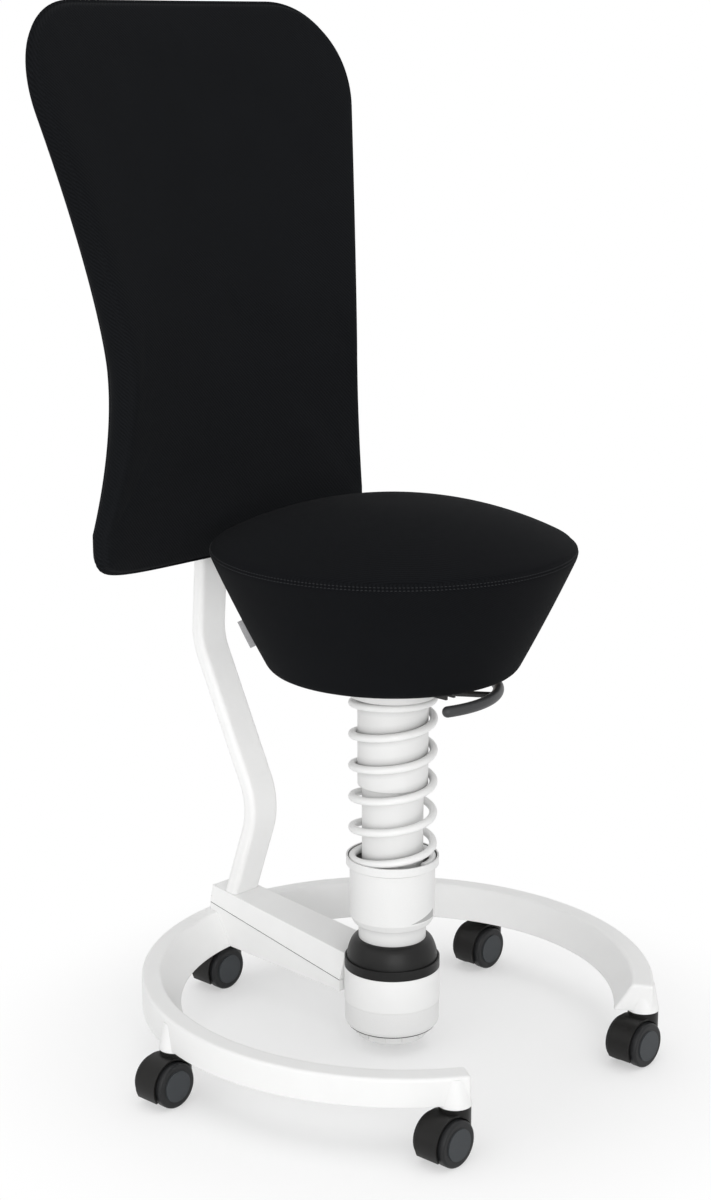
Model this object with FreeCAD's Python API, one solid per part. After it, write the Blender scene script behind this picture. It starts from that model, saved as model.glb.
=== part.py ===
import FreeCAD, Part
import math
import os

# Active sitting stool: a ring base on castors, a tilting spring column with a round seat,
# and a padded back on a bent upright. Millimetres, floor at z = 0, the column's axis is Z
# and the sitter faces -Y.

os.makedirs("parts", exist_ok=True)

V = FreeCAD.Vector
UP = V(0, 0, 1)
ORIGIN = V(0, 0, 0)
ALONG_X = V(1, 0, 0)
ALONG_Y = V(0, 1, 0)

# Clearances
run_clear = 0.06
seat_clear = 0.3
swivel_gap = 0.4
cut_over = 1.0

# Castors
castor_count = 5
castor_lead_angle = 36.0
castor_inset = 11.0
castor_trail = 17.0
castor_h = 57.6
wheel_d = 50.0
wheel_w = 13.0
wheel_shoulder = 3.0
wheel_cap_d = 34.0
wheel_cap_step = 1.2
wheel_hub_wall = 1.5
axle_d = 6.0
web_w = 14.0
web_inset = 2.0
wheel_side_gap = 0.8
wheel_show = 6.5
hood_wall = 2.2
hood_gap = 1.2
hood_front_z = 9.0
hood_back_z = 33.0
hood_neck_d = 34.0
stem_d = 11.0
stem_in_hood = 14.0
stem_in_ring = 24.0

# Base frame: ring, castor bosses, arm and hub
ring_d = 570.0
ring_shift = -8.0
ring_top_w = 20.0
ring_foot_w = 43.0
ring_h = 37.0
ring_fall = 7.0
ring_gap_angle = 33.0
ring_edge_r = 3.5
boss_d = 36.0
boss_top_d = 24.0
boss_h = 30.0
boss_drop = 2.4
arm_ring_half_w = 25.0
arm_hub_half_w = 37.0
arm_ring_rise = 9.0
arm_hub_h = 13.0
hub_d = 107.0
hub_h = 38.4
hub_bore_d = 92.0
hub_foot_drop = 3.4

# Hub cup and tilt knob
cup_rim_inset = 0.7
cup_h = 30.7
cup_floor = 5.0
cup_corner_r = 8.0
knob_d = 80.0
knob_h = 12.3
knob_corner_r = 4.0
knob_rib_count = 12
knob_rib_w = 3.0
knob_rib_h = 1.6
spindle_d = 12.0

# Tilt joint in the hub
pivot_above_hub_top = 7.0
yoke_flange_h = 10.0
ear_inner = 15.0
ear_outer = 22.0
ear_half_w = 9.0
cross_pin_d = 10.0
cross_core_d = 24.0
elastomer_in_d = 54.0
elastomer_out_d = 70.0
dome_r = 51.0
dome_wall = 2.5
dome_skirt = 6.0
dome_room = 12.0
dome_turn_angle = 25.6
dome_turn_bow = 0.95
dome_rim_h = 27.7
collar_h = 11.0
collar_gap = 0.4
collar_inset = 0.3

# Column below the seat
neck_d = 75.2
neck_foot_gap = 24.6
neck_base_h = 13.0
neck_socket_h = 51.0
lower_tube_d = 68.0
lower_tube_wall = 6.0
lower_tube_l = 220.0
sleeve_d = 78.0
sleeve_wall = 2.5
sleeve_l = 102.0
bush_l = 20.0
bush_inset = 0.5

# Spring cup and coil spring
cup_body_d = 95.0
cup_body_wall = 3.0
cup_body_skirt = 41.5
cup_chamfer_h = 7.0
cup_chamfer_w = 3.5
cup_foot_h = 4.0
cup_web_h = 12.0
lip_d = 103.0
lip_rise = 23.0
lip_slope = 2.0
lip_h = 11.5
ledge_rise = 26.0
spring_d = 98.4
wire_d = 8.8
spring_end_gap = 0.1
spring_lip_gap = 0.4
spring_turns = 6.4
spring_dead_turns = 0.5
spring_ease_turns = 0.25
spring_start_angle = 270.0
arcs_per_turn = 4

# Spring flange and gas lift
flange_d = 101.0
flange_h = 26.0
flange_edge = 2.0
flange_bottom = 410.5
stand_d = 50.0
stand_wall = 2.5
stand_l = 235.0
stand_floor = 4.0
gas_bush_l = 45.0
gas_cylinder_d = 28.0
gas_cylinder_l = 164.0
gas_rod_d = 10.0
gas_rod_l = 180.0
gas_bore_l = 104.0

# Seat
seat_above_flange = 4.0
seat_plate_rise = 1.0
seat_plate_d = 190.0
seat_plate_t = 4.0
seat_boss_d = 40.0
seat_boss_drop = 3.0
seat_boss_rise = 6.0
seat_boss_roof = 3.5
seat_pan_d = 224.0
seat_pan_t = 10.0
seat_bottom_d = 244.0
seat_heel_d = 278.0
seat_heel_h = 9.0
seat_heel_bulge = 2.5
seat_rim_d = 393.0
seat_rim_h = 127.0
seat_rim_bulge = 3.0
seat_edge_h = 13.0
seat_edge_inset = 5.0
seat_side_bulge = 2.0
seat_crown_h = 191.0
seat_screw_count = 4
seat_screw_d = 6.0
seat_screw_head_d = 11.0
seat_screw_head_h = 3.0
seat_screw_pcd = 150.0
seat_screw_grip = 9.0
label_l = 32.0
label_w = 9.5
label_t = 0.8
label_sewn_in = 3.0
label_angle = 131.8
label_low = 17.0

# Release lever
lever_rod_d = 6.5
lever_eye_d = 13.0
lever_eye_w = 9.0
lever_pin_d = 6.0
lever_pivot_y = -70.0
lever_x = 4.0
lever_below_seat = 14.0
lever_knee_y = -88.0
grip_d = 12.0
grip_free_end = (-56.0, -126.0)
grip_middle = (5.0, -130.0)
grip_joint = (26.0, -121.5)
grip_far_end = (64.0, -92.0)
bracket_wall = 3.0
bracket_side_gap = 0.4
bracket_half_l = 9.0
bracket_foot = 8.0
bracket_slot_gap = 1.5

# Back upright and its shoe
upright_w = 42.0
upright_t = 18.0
upright_edge_r = 6.0
upright_foot = (244.0, 111.0)
upright_knee = (200.0, 236.0)
upright_knee_r = 80.0
upright_bend = (290.5, 423.0)
upright_bend_r = 70.0
upright_lean = (283.0, 531.0)
upright_lean_r = 300.0
upright_top_z = 761.0
shoe_gap = 0.4
shoe_key_half_w = 12.0
shoe_rear_h = 20.0
shoe_front_h = 29.0
shoe_rear_inset = 4.0
shoe_front_inset = 10.0
shoe_hub_gap = 0.6
shoe_bolt_d = 8.0
shoe_bolt_head_d = 14.0
shoe_bolt_head_h = 7.0
shoe_bolt_bite = 16.0
shoe_bolt_first_y = 110.0
shoe_bolt_pitch = 80.0
shoe_bolt_count = 2

# Back pad, its shell and the plate that holds them
pad_bottom_z = 526.0
pad_round_z = 581.0
pad_waist_z = 751.0
pad_top_z = 1141.0
pad_head_drop = 79.0
pad_foot_half_w = 205.5
pad_waist_half_w = 177.0
pad_head_half_w = 241.0
pad_foot_y = 228.0
pad_waist_y = 209.5
pad_head_y = 279.0
pad_foot_t = 30.0
pad_waist_t = 50.0
pad_head_t = 28.0
pad_wrap = 26.0
pad_foot_swell = 9.0
pad_waist_swell = 3.0
pad_head_swell = 21.0
pad_rear_flare = 4.0
pad_side_bulge_share = 0.15
pad_corner_r = 116.0
pad_edge_r = 9.0
pad_rise_power = 1.28
pad_fall_power = 1.7
pad_bottom_power = 7.0
pad_bottom_flat_share = 0.95
pad_bottom_steps = 4
pad_middle_steps = 8
pad_corner_steps = 5
shell_t = 4.0
shell_gap = 0.6
shell_trim = 5.0
shell_margin = 22.0
mount_w = 100.0
mount_h = 150.0
mount_low_z = 601.0
mount_front_y = 267.5
mount_screw_d = 6.0
mount_screw_head_d = 12.0
mount_screw_head_h = 3.0
mount_screw_grip = 3.5
mount_screw_pitch_x = 76.0
mount_screw_pitch_z = 80.0

# Heights and radii that follow from the sizes above
wheel_r = wheel_d / 2
axle_r = axle_d / 2
stem_r = stem_d / 2
wheel_inner_y = web_w / 2 + wheel_side_gap
wheel_outer_y = wheel_inner_y + wheel_w
axle_half_l = wheel_outer_y - wheel_hub_wall
boss_bottom = castor_h + swivel_gap
ring_bottom = boss_bottom + boss_drop
ring_top = ring_bottom + ring_h
ring_r = ring_d / 2
castor_circle_r = ring_r - castor_inset
hub_r = hub_d / 2
hub_bore_r = hub_bore_d / 2
hub_bottom = ring_bottom - hub_foot_drop
hub_top = hub_bottom + hub_h
arm_rear_y = ring_shift + ring_r - ring_top_w / 2
arm_front_y = hub_bore_r
arm_rear_z = ring_top + arm_ring_rise
arm_front_z = ring_bottom + arm_hub_h
cup_top = hub_bottom
cup_bottom = cup_top - cup_h
knob_top = cup_bottom - seat_clear
knob_bottom = knob_top - knob_h
spindle_r = spindle_d / 2
yoke_top = hub_bottom + yoke_flange_h
pivot = V(0, 0, hub_top + pivot_above_hub_top)
cross_pin_r = cross_pin_d / 2
neck_r = neck_d / 2
neck_bottom = pivot.z + neck_foot_gap
neck_floor = neck_bottom + neck_base_h
neck_top = neck_floor + neck_socket_h
lower_tube_r = lower_tube_d / 2
sleeve_r = sleeve_d / 2
sleeve_bore_r = sleeve_r - sleeve_wall
sleeve_bottom = flange_bottom - sleeve_l
ledge_z = neck_top + ledge_rise
spring_r = (spring_d - wire_d) / 2
spring_low = ledge_z + spring_end_gap + wire_d / 2
spring_high = flange_bottom - spring_end_gap - wire_d / 2
flange_top = flange_bottom + flange_h
stand_r = stand_d / 2
stand_bore_r = stand_r - stand_wall
stand_bottom = flange_top - stand_l
gas_cylinder_r = gas_cylinder_d / 2
gas_rod_r = gas_rod_d / 2
seat_bottom = flange_top + seat_above_flange
plate_bottom = seat_bottom + seat_plate_rise
plate_top = plate_bottom + seat_plate_t
boss_low = plate_bottom - seat_boss_drop
boss_high = plate_top + seat_boss_rise
gas_top = boss_high - seat_boss_roof
gas_bottom = gas_top - gas_cylinder_l
pan_top = plate_top + seat_pan_t
seat_recess_r = seat_pan_d / 2 + seat_clear
seat_recess_top = pan_top + seat_clear
lever_z = seat_bottom - lever_below_seat
upright_front_y = upright_lean[0] - upright_t / 2
pad_head_z = pad_top_z - pad_head_drop
mount_high_z = mount_low_z + mount_h


def on_xz(x, z):
    """A point of the XZ plane."""
    return V(x, 0, z)


def on_yz(y, z):
    """A point of the YZ plane."""
    return V(0, y, z)


def outline(points, place):
    """Closed wire; a point of four numbers is an arc through its first pair to its last pair."""
    edges = []
    here = points[0]
    for point in points[1:] + points[:1]:
        start = place(*here[-2:])
        end = place(*point[-2:])
        if len(point) == 4:
            edges.append(Part.Arc(start, place(*point[:2]), end).toShape())
        else:
            edges.append(Part.makeLine(start, end))
        here = point
    return Part.Wire(edges)


def turned(points):
    """Solid of revolution about Z from a profile of radius and height."""
    return Part.Face(outline(points, on_xz)).revolve(ORIGIN, UP, 360)


def rod(radius, low, high, x=0.0, y=0.0):
    """Upright cylinder between two heights."""
    return Part.makeCylinder(radius, high - low, V(x, y, low))


def tube(outer_r, inner_r, low, high):
    """Upright ring about the Z axis."""
    return rod(outer_r, low, high).cut(rod(inner_r, low - cut_over, high + cut_over))


def block(x0, x1, y0, y1, z0, z1):
    """Box between two corners."""
    return Part.makeBox(x1 - x0, y1 - y0, z1 - z0, V(x0, y0, z0))


def bar(start, end, radius):
    """Cylinder from one point to another."""
    run = end - start
    return Part.makeCylinder(radius, run.Length, start, run)


def swept(profile, path):
    """Solid of a closed profile along a smooth path."""
    shell = Part.BRepOffsetAPI.MakePipeShell(path)
    shell.add(profile)
    shell.build()
    shell.makeSolid()
    return shell.shape()


def save(name, shape):
    """Write a sub-part: one solid, or a group of like solids."""
    solids = shape.Solids
    body = solids[0] if len(solids) == 1 else Part.makeCompound(solids)
    body.exportStep("parts/" + name + ".step")


# Castors

def castor_places():
    """Swivel axes of the castors, evenly spaced from the ring's front gap."""
    places = []
    for i in range(castor_count):
        angle = math.radians(castor_lead_angle + i * 360 / castor_count)
        x = castor_circle_r * math.sin(angle)
        y = ring_shift - castor_circle_r * math.cos(angle)
        places.append(V(x, y, 0))
    return places


def axle_cylinder(radius, from_y, to_y):
    """Cylinder about the axle of a castor whose swivel axis is Z."""
    centre = V(-castor_trail, 0, wheel_r)
    return bar(centre + ALONG_Y * from_y, centre + ALONG_Y * to_y, radius)


def castor_hood():
    """Drum cover and neck round the swivel, with a web that carries the axle between the wheels."""
    reach = wheel_r + hood_gap + hood_wall
    half_w = wheel_outer_y - wheel_show
    drum = axle_cylinder(reach, -half_w, half_w)
    drum = drum.fuse(rod(hood_neck_d / 2, wheel_r, castor_h))
    under = [
        (-castor_trail - 2 * reach, -reach),
        (2 * reach, -reach),
        (2 * reach, hood_back_z),
        (hood_neck_d / 2, hood_back_z),
        (-castor_trail - reach, hood_front_z),
        (-castor_trail - 2 * reach, hood_front_z),
    ]
    below = Part.Face(outline(under, on_xz)).extrude(V(0, 2 * castor_h, 0))
    below.translate(V(0, -castor_h, 0))
    hood = drum.cut(below).fuse(axle_cylinder(wheel_r - web_inset, -web_w / 2, web_w / 2))
    room = wheel_r + hood_gap
    hood = hood.cut(axle_cylinder(room, web_w / 2, wheel_outer_y + reach))
    hood = hood.cut(axle_cylinder(room, -wheel_outer_y - reach, -web_w / 2))
    hood = hood.cut(axle_cylinder(axle_r, -reach, reach))
    hood = hood.cut(rod(stem_r, castor_h - stem_in_hood, castor_h + cut_over))
    return hood.removeSplitter()


def castor_wheel(side):
    """Wheel with a shouldered tread, a stepped cap and a blind bore on the axle."""
    bore = axle_r + run_clear
    middle = wheel_shoulder * (1 - math.sqrt(0.5))
    face = wheel_outer_y
    profile = [
        (bore, wheel_inner_y),
        (wheel_r - wheel_shoulder, wheel_inner_y),
        (wheel_r - middle, wheel_inner_y + middle, wheel_r, wheel_inner_y + wheel_shoulder),
        (wheel_r, face - wheel_shoulder),
        (wheel_r - middle, face - middle, wheel_r - wheel_shoulder, face),
        (wheel_cap_d / 2, face),
        (wheel_cap_d / 2, face + wheel_cap_step),
        (0, face + wheel_cap_step),
        (0, axle_half_l + seat_clear),
        (bore, axle_half_l + seat_clear),
    ]
    wheel = turned(profile)
    wheel.rotate(ORIGIN, ALONG_X, -90 * side)
    wheel.translate(V(-castor_trail, 0, wheel_r))
    return wheel


def save_castors():
    """Write the five castors, each with its stem, hood, axle and two wheels."""
    pieces = {
        "stem": rod(stem_r, castor_h - stem_in_hood, boss_bottom + stem_in_ring - seat_clear),
        "hood": castor_hood(),
        "axle": axle_cylinder(axle_r, -axle_half_l, axle_half_l),
        "wheel_left": castor_wheel(1),
        "wheel_right": castor_wheel(-1),
    }
    for number, place in enumerate(castor_places(), 1):
        for name, shape in pieces.items():
            placed = shape.copy()
            placed.translate(place)
            save("castor_%d_%s" % (number, name), placed)


save_castors()


# Base frame

def bolt_places():
    """Places along the arm of the bolts that hold the shoe."""
    return [shoe_bolt_first_y + i * shoe_bolt_pitch for i in range(shoe_bolt_count)]


def arm_top_at(y):
    """Height of the arm's sloping top face."""
    share = (y - arm_front_y) / (arm_rear_y - arm_front_y)
    return arm_front_z + share * (arm_rear_z - arm_front_z)


def ring_solid():
    """Open ring with a sloped inner wall; its top falls towards the front."""
    lean = (ring_foot_w - ring_top_w) / ring_h
    spare_top = ring_top + ring_fall
    section = [
        (ring_r - ring_foot_w, ring_bottom),
        (ring_r, ring_bottom),
        (ring_r, spare_top),
        (ring_r - ring_top_w + lean * ring_fall, spare_top),
    ]
    ring = Part.Face(outline(section, on_xz)).revolve(ORIGIN, UP, 360 - 2 * ring_gap_angle)
    ring.rotate(ORIGIN, UP, ring_gap_angle - 90)
    above = [
        (-ring_r, ring_top - ring_fall),
        (ring_r, ring_top),
        (ring_r, spare_top + ring_fall),
        (-ring_r, spare_top + ring_fall),
    ]
    wedge = Part.Face(outline(above, on_yz)).extrude(ALONG_X * 2 * ring_d)
    wedge.translate(ALONG_X * -ring_d)
    ring = ring.cut(wedge)
    raised = [e for e in ring.Edges if e.CenterOfMass.z > ring_bottom + ring_edge_r]
    ring = ring.makeFillet(ring_edge_r, raised)
    ring.translate(ALONG_Y * ring_shift)
    return ring


def across(low_half_w, high_half_w, y, low, high):
    """Upright trapezoid across the arm."""
    corners = [(-low_half_w, low), (low_half_w, low), (high_half_w, high), (-high_half_w, high)]
    return outline(corners, lambda x, z: V(x, y, z))


def base_frame():
    """Ring, castor bosses, arm and hub in one casting, with its bores."""
    frame = ring_solid()
    for place in castor_places():
        boss = Part.makeCone(boss_d / 2, boss_top_d / 2, boss_h, place + UP * boss_bottom)
        frame = frame.fuse(boss)
    arm = Part.makeLoft([
        across(arm_hub_half_w, arm_hub_half_w, arm_front_y, ring_bottom, arm_front_z),
        across(arm_ring_half_w, arm_ring_half_w, arm_rear_y, ring_bottom, arm_rear_z),
    ], True, True)
    frame = frame.fuse([arm, rod(hub_r, hub_bottom, hub_top)])
    stem_top = boss_bottom + stem_in_ring
    for place in castor_places():
        frame = frame.cut(rod(stem_r + run_clear, boss_bottom - cut_over, stem_top, place.x, place.y))
    frame = frame.cut(rod(hub_bore_r, hub_bottom - cut_over, hub_top + cut_over))
    dome_floor = pivot.z - dome_skirt - dome_room
    frame = frame.cut(rod(dome_r + collar_gap, dome_floor, hub_top + cut_over))
    return frame.cut(shoe_bolts()).removeSplitter()


def shoe_bolts():
    """Bolts from under the arm into the shoe, heads sunk in the arm."""
    bolts = []
    for y in bolt_places():
        head = rod(shoe_bolt_head_d / 2, ring_bottom, ring_bottom + shoe_bolt_head_h, 0, y)
        shank = rod(shoe_bolt_d / 2, ring_bottom, arm_top_at(y) + shoe_bolt_bite, 0, y)
        bolts.append(head.fuse(shank).removeSplitter())
    return Part.makeCompound(bolts)


save("base_frame", base_frame())
save("shoe_bolts", shoe_bolts())


# Hub: lower cup, tilt knob and the tilt joint

def hub_cup():
    """Cup that closes the hub from below, with the knob's bore."""
    outer = hub_r - cup_rim_inset
    middle = cup_corner_r * (1 - math.sqrt(0.5))
    bore = spindle_r + run_clear
    return turned([
        (bore, cup_bottom),
        (outer - cup_corner_r, cup_bottom),
        (outer - middle, cup_bottom + middle, outer, cup_bottom + cup_corner_r),
        (outer, cup_top),
        (hub_bore_r, cup_top),
        (hub_bore_r, cup_bottom + cup_floor),
        (bore, cup_bottom + cup_floor),
    ])


def tilt_knob():
    """Ribbed knob with its spindle, which sets how stiff the tilt is."""
    outer = knob_d / 2
    middle = knob_corner_r * (1 - math.sqrt(0.5))
    spindle_top = yoke_top - seat_clear
    knob = turned([
        (0, knob_bottom),
        (outer - knob_corner_r, knob_bottom),
        (outer - middle, knob_bottom + middle, outer, knob_bottom + knob_corner_r),
        (outer, knob_top),
        (spindle_r, knob_top),
        (spindle_r, spindle_top),
        (0, spindle_top),
    ])
    rib = block(outer - knob_rib_w, outer + knob_rib_h, -knob_rib_w / 2, knob_rib_w / 2,
                knob_bottom + knob_corner_r, knob_top)
    for i in range(knob_rib_count):
        turned_rib = rib.copy()
        turned_rib.rotate(ORIGIN, UP, i * 360 / knob_rib_count)
        knob = knob.fuse(turned_rib)
    return knob.removeSplitter()


def fork_ears(axis, from_z, to_z):
    """Two ears on an axis through the pivot, rounded at the pivot, with the pin's bore."""
    ears = []
    side_way = V(axis.y, axis.x, 0)
    for side in (-1, 1):
        near = axis * (ear_inner * side)
        far = axis * (ear_outer * side)
        low = near - side_way * ear_half_w
        high = far + side_way * ear_half_w
        ear = block(min(low.x, high.x), max(low.x, high.x), min(low.y, high.y), max(low.y, high.y),
                    from_z, to_z)
        ear = ear.fuse(bar(pivot + near, pivot + far, ear_half_w))
        ears.append(ear.cut(bar(pivot, pivot + far * 2, cross_pin_r + run_clear)))
    return ears


def lower_yoke():
    """Flange in the hub, with the ears that carry the cross along X."""
    flange = tube(hub_bore_r, spindle_r + run_clear, hub_bottom, yoke_top)
    return flange.fuse(fork_ears(ALONG_X, yoke_top, pivot.z)).removeSplitter()


def tilt_cross():
    """Cross of two pins on a round core."""
    core = Part.makeSphere(cross_core_d / 2, pivot)
    pins = [bar(pivot - a * ear_outer, pivot + a * ear_outer, cross_pin_r) for a in (ALONG_X, ALONG_Y)]
    return core.fuse(pins).removeSplitter()


def column_neck():
    """Foot of the column: upper fork, floor and socket for the lower tube."""
    neck = rod(neck_r, neck_bottom, neck_top)
    neck = neck.cut(rod(lower_tube_r, neck_floor, neck_top + cut_over))
    return neck.fuse(fork_ears(ALONG_Y, pivot.z, neck_bottom)).removeSplitter()


def dome_cap():
    """Rubber cap: part of a sphere about the pivot, to close the hub at every tilt, turned in to the neck."""
    def polar(radius, angle):
        """Radius and height of a point at an angle above the pivot's level."""
        return radius * math.cos(angle), pivot.z + radius * math.sin(angle)

    inner = dome_r - dome_wall
    turn = math.radians(dome_turn_angle)
    low = -math.asin(dome_skirt / dome_r)
    inner_low = -math.asin(dome_skirt / inner)
    rim_z = pivot.z + dome_rim_h
    shoulder = polar(dome_r, turn)
    bow = ((shoulder[0] + neck_r) / 2 + dome_turn_bow, (shoulder[1] + rim_z) / 2 + dome_turn_bow)
    return turned([
        polar(inner, (inner_low + turn) / 2) + polar(inner, inner_low),
        polar(dome_r, low),
        polar(dome_r, (low + turn) / 2) + shoulder,
        bow + (neck_r, rim_z),
        (neck_r, rim_z - dome_wall),
        polar(inner, turn),
    ])


save("hub_cup", hub_cup())
save("tilt_knob", tilt_knob())
save("lower_yoke", lower_yoke())
save("tilt_cross", tilt_cross())
save("tilt_elastomer", tube(elastomer_out_d / 2, elastomer_in_d / 2, yoke_top, neck_bottom - seat_clear))
save("rubber_collar", tube(hub_r - collar_inset, dome_r + collar_gap, hub_top, hub_top + collar_h))
save("column_neck", column_neck())
save("dome_cap", dome_cap())


# Column, spring cup and coil spring

def spring_cup():
    """Turning cup on the neck; its web rests on the neck and its lip holds the spring."""
    outer = cup_body_d / 2
    inner = outer - cup_body_wall
    lip = lip_d / 2
    lip_inner = spring_d / 2 + spring_lip_gap
    neck_bore = neck_r + run_clear
    tube_bore = lower_tube_r + run_clear
    bottom = neck_top - cup_body_skirt
    foot_top = bottom + cup_chamfer_h + cup_foot_h
    lip_z = neck_top + lip_rise
    web_top = neck_top + cup_web_h
    return turned([
        (neck_bore, bottom),
        (outer - cup_chamfer_w, bottom),
        (outer, bottom + cup_chamfer_h),
        (outer, lip_z),
        (lip, lip_z + lip_slope),
        (lip, lip_z + lip_h),
        (lip_inner, lip_z + lip_h),
        (lip_inner, ledge_z),
        (inner, ledge_z),
        (inner, web_top),
        (tube_bore, web_top),
        (tube_bore, neck_top),
        (inner, neck_top),
        (inner, foot_top),
        (neck_bore, foot_top),
    ])


def eased(turns):
    """Turns counted with a slope that grows from nothing to one over the easing stretch."""
    if turns <= 0:
        return 0.0
    if turns < spring_ease_turns:
        return turns * turns / (2 * spring_ease_turns)
    return turns - spring_ease_turns / 2


def spring_point(turns):
    """Point of the wire's centre line: flat end, steady pitch, flat end."""
    steady = spring_turns - 2 * spring_dead_turns - spring_ease_turns
    last = spring_turns - spring_dead_turns - spring_ease_turns
    climbed = eased(turns - spring_dead_turns) - eased(turns - last)
    z = spring_low + (spring_high - spring_low) * climbed / steady
    angle = math.radians(spring_start_angle + 360 * turns)
    return V(spring_r * math.cos(angle), spring_r * math.sin(angle), z)


def spring_heading(turns):
    """Unit direction of the centre line."""
    step = 1e-5
    return (spring_point(turns + step) - spring_point(turns - step)).normalize()


def tangent_arc(start, heading, end):
    """Arc that leaves a point along a heading and ends at another point."""
    chord = end - start
    toward = V(chord).normalize()
    half_way = (toward + heading).normalize()
    middle = start + half_way * (chord.Length / 2 / half_way.dot(toward))
    return Part.Arc(start, middle, end).toShape()


def biarc(start, heading, end, end_heading):
    """Two tangent arcs between two points with given headings."""
    run = end - start
    along = run.dot(heading + end_heading)
    spread = 2 * (1 - heading.dot(end_heading))
    reach = (math.sqrt(along * along + spread * run.dot(run)) - along) / spread
    near = start + heading * reach
    far = end - end_heading * reach
    middle = (near + far) * 0.5
    return [tangent_arc(start, heading, middle), tangent_arc(middle, (far - near).normalize(), end)]


def spring_self_gap():
    """Least space between turns of the wire, on points of the centre line."""
    steps_per_turn = 48
    count = int(spring_turns * steps_per_turn)
    points = [spring_point(i / steps_per_turn) for i in range(count + 1)]
    apart = steps_per_turn // 2
    gaps = [(p - q).Length for i, p in enumerate(points) for q in points[i + apart:]]
    return min(gaps) - wire_d


def coil_spring():
    """One unbroken wire along tangent arcs."""
    count = math.ceil(spring_turns * arcs_per_turn)
    turns = [spring_turns * i / count for i in range(count + 1)]
    edges = []
    for a, b in zip(turns, turns[1:]):
        edges += biarc(spring_point(a), spring_heading(a), spring_point(b), spring_heading(b))
    circle = Part.Wire(Part.makeCircle(wire_d / 2, spring_point(0), spring_heading(0)))
    return swept(circle, Part.Wire(edges))


def spring_flange():
    """Flange that the spring bears on, round the stand tube."""
    outer = flange_d / 2
    return turned([
        (stand_r, flange_bottom),
        (outer - flange_edge, flange_bottom),
        (outer, flange_bottom + flange_edge),
        (outer, flange_top - flange_edge),
        (outer - flange_edge, flange_top),
        (stand_r, flange_top),
    ])


def stand_tube():
    """Tube that guides the gas lift, with a floor for its rod."""
    stand = tube(stand_r, stand_bore_r, stand_bottom, flange_top)
    return stand.fuse(tube(stand_bore_r, gas_rod_r, stand_bottom, stand_bottom + stand_floor)).removeSplitter()


def gas_cylinder():
    """Cylinder that slides in the guide bush, bored for the rod."""
    bore = rod(gas_rod_r + run_clear, gas_bottom - cut_over, gas_bottom + gas_bore_l)
    return rod(gas_cylinder_r, gas_bottom, gas_top).cut(bore)


bush_low = sleeve_bottom + bush_inset
save("lower_tube", tube(lower_tube_r, lower_tube_r - lower_tube_wall, neck_floor, neck_floor + lower_tube_l))
save("tube_bush", tube(sleeve_bore_r, lower_tube_r + run_clear, bush_low, bush_low + bush_l))
save("upper_sleeve", tube(sleeve_r, sleeve_bore_r, sleeve_bottom, flange_bottom))
save("spring_cup", spring_cup())
save("coil_spring", coil_spring())
print("spring self gap %.2f mm" % spring_self_gap())
save("spring_flange", spring_flange())
save("gas_stand_tube", stand_tube())
save("gas_guide_bush", tube(stand_bore_r, gas_cylinder_r + run_clear, flange_top - gas_bush_l, flange_top))
save("gas_rod", rod(gas_rod_r, stand_bottom, stand_bottom + gas_rod_l))
save("gas_cylinder", gas_cylinder())


# Seat

def seat_screws():
    """Screws from below through the plate into the pan."""
    screws = []
    for i in range(seat_screw_count):
        angle = math.radians((i + 0.5) * 360 / seat_screw_count)
        x = seat_screw_pcd / 2 * math.cos(angle)
        y = seat_screw_pcd / 2 * math.sin(angle)
        head = rod(seat_screw_head_d / 2, plate_bottom - seat_screw_head_h, plate_bottom, x, y)
        shank = rod(seat_screw_d / 2, plate_bottom, plate_top + seat_screw_grip, x, y)
        screws.append(head.fuse(shank).removeSplitter())
    return Part.makeCompound(screws)


def seat_plate():
    """Steel plate with the boss that turns on the gas lift."""
    plate = rod(seat_plate_d / 2, plate_bottom, plate_top).fuse(rod(seat_boss_d / 2, boss_low, boss_high))
    plate = plate.cut(rod(gas_cylinder_r + run_clear, boss_low - cut_over, gas_top + seat_clear))
    return plate.cut(seat_screws()).removeSplitter()


def seat_pan():
    """Board under the cushion, open round the boss."""
    pan = tube(seat_pan_d / 2, seat_boss_d / 2 + seat_clear, plate_top, pan_top)
    return pan.cut(seat_screws())


def label_tab():
    """Bare tab sewn into the side, standing out in a plane through the axis."""
    heel = V(seat_heel_d / 2, 0, seat_bottom + seat_heel_h)
    rim = V(seat_rim_d / 2, 0, seat_bottom + seat_rim_h)
    slope = (rim - heel).normalize()
    outward = V(slope.z, 0, -slope.x)
    low = heel + slope * label_low
    high = low + slope * label_l
    corners = [low - outward * label_sewn_in, low + outward * label_w,
               high + outward * label_w, high - outward * label_sewn_in]
    tab = Part.Face(Part.makePolygon(corners + corners[:1])).extrude(ALONG_Y * label_t)
    tab.translate(ALONG_Y * (-label_t / 2))
    tab.rotate(ORIGIN, UP, label_angle)
    return tab


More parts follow.
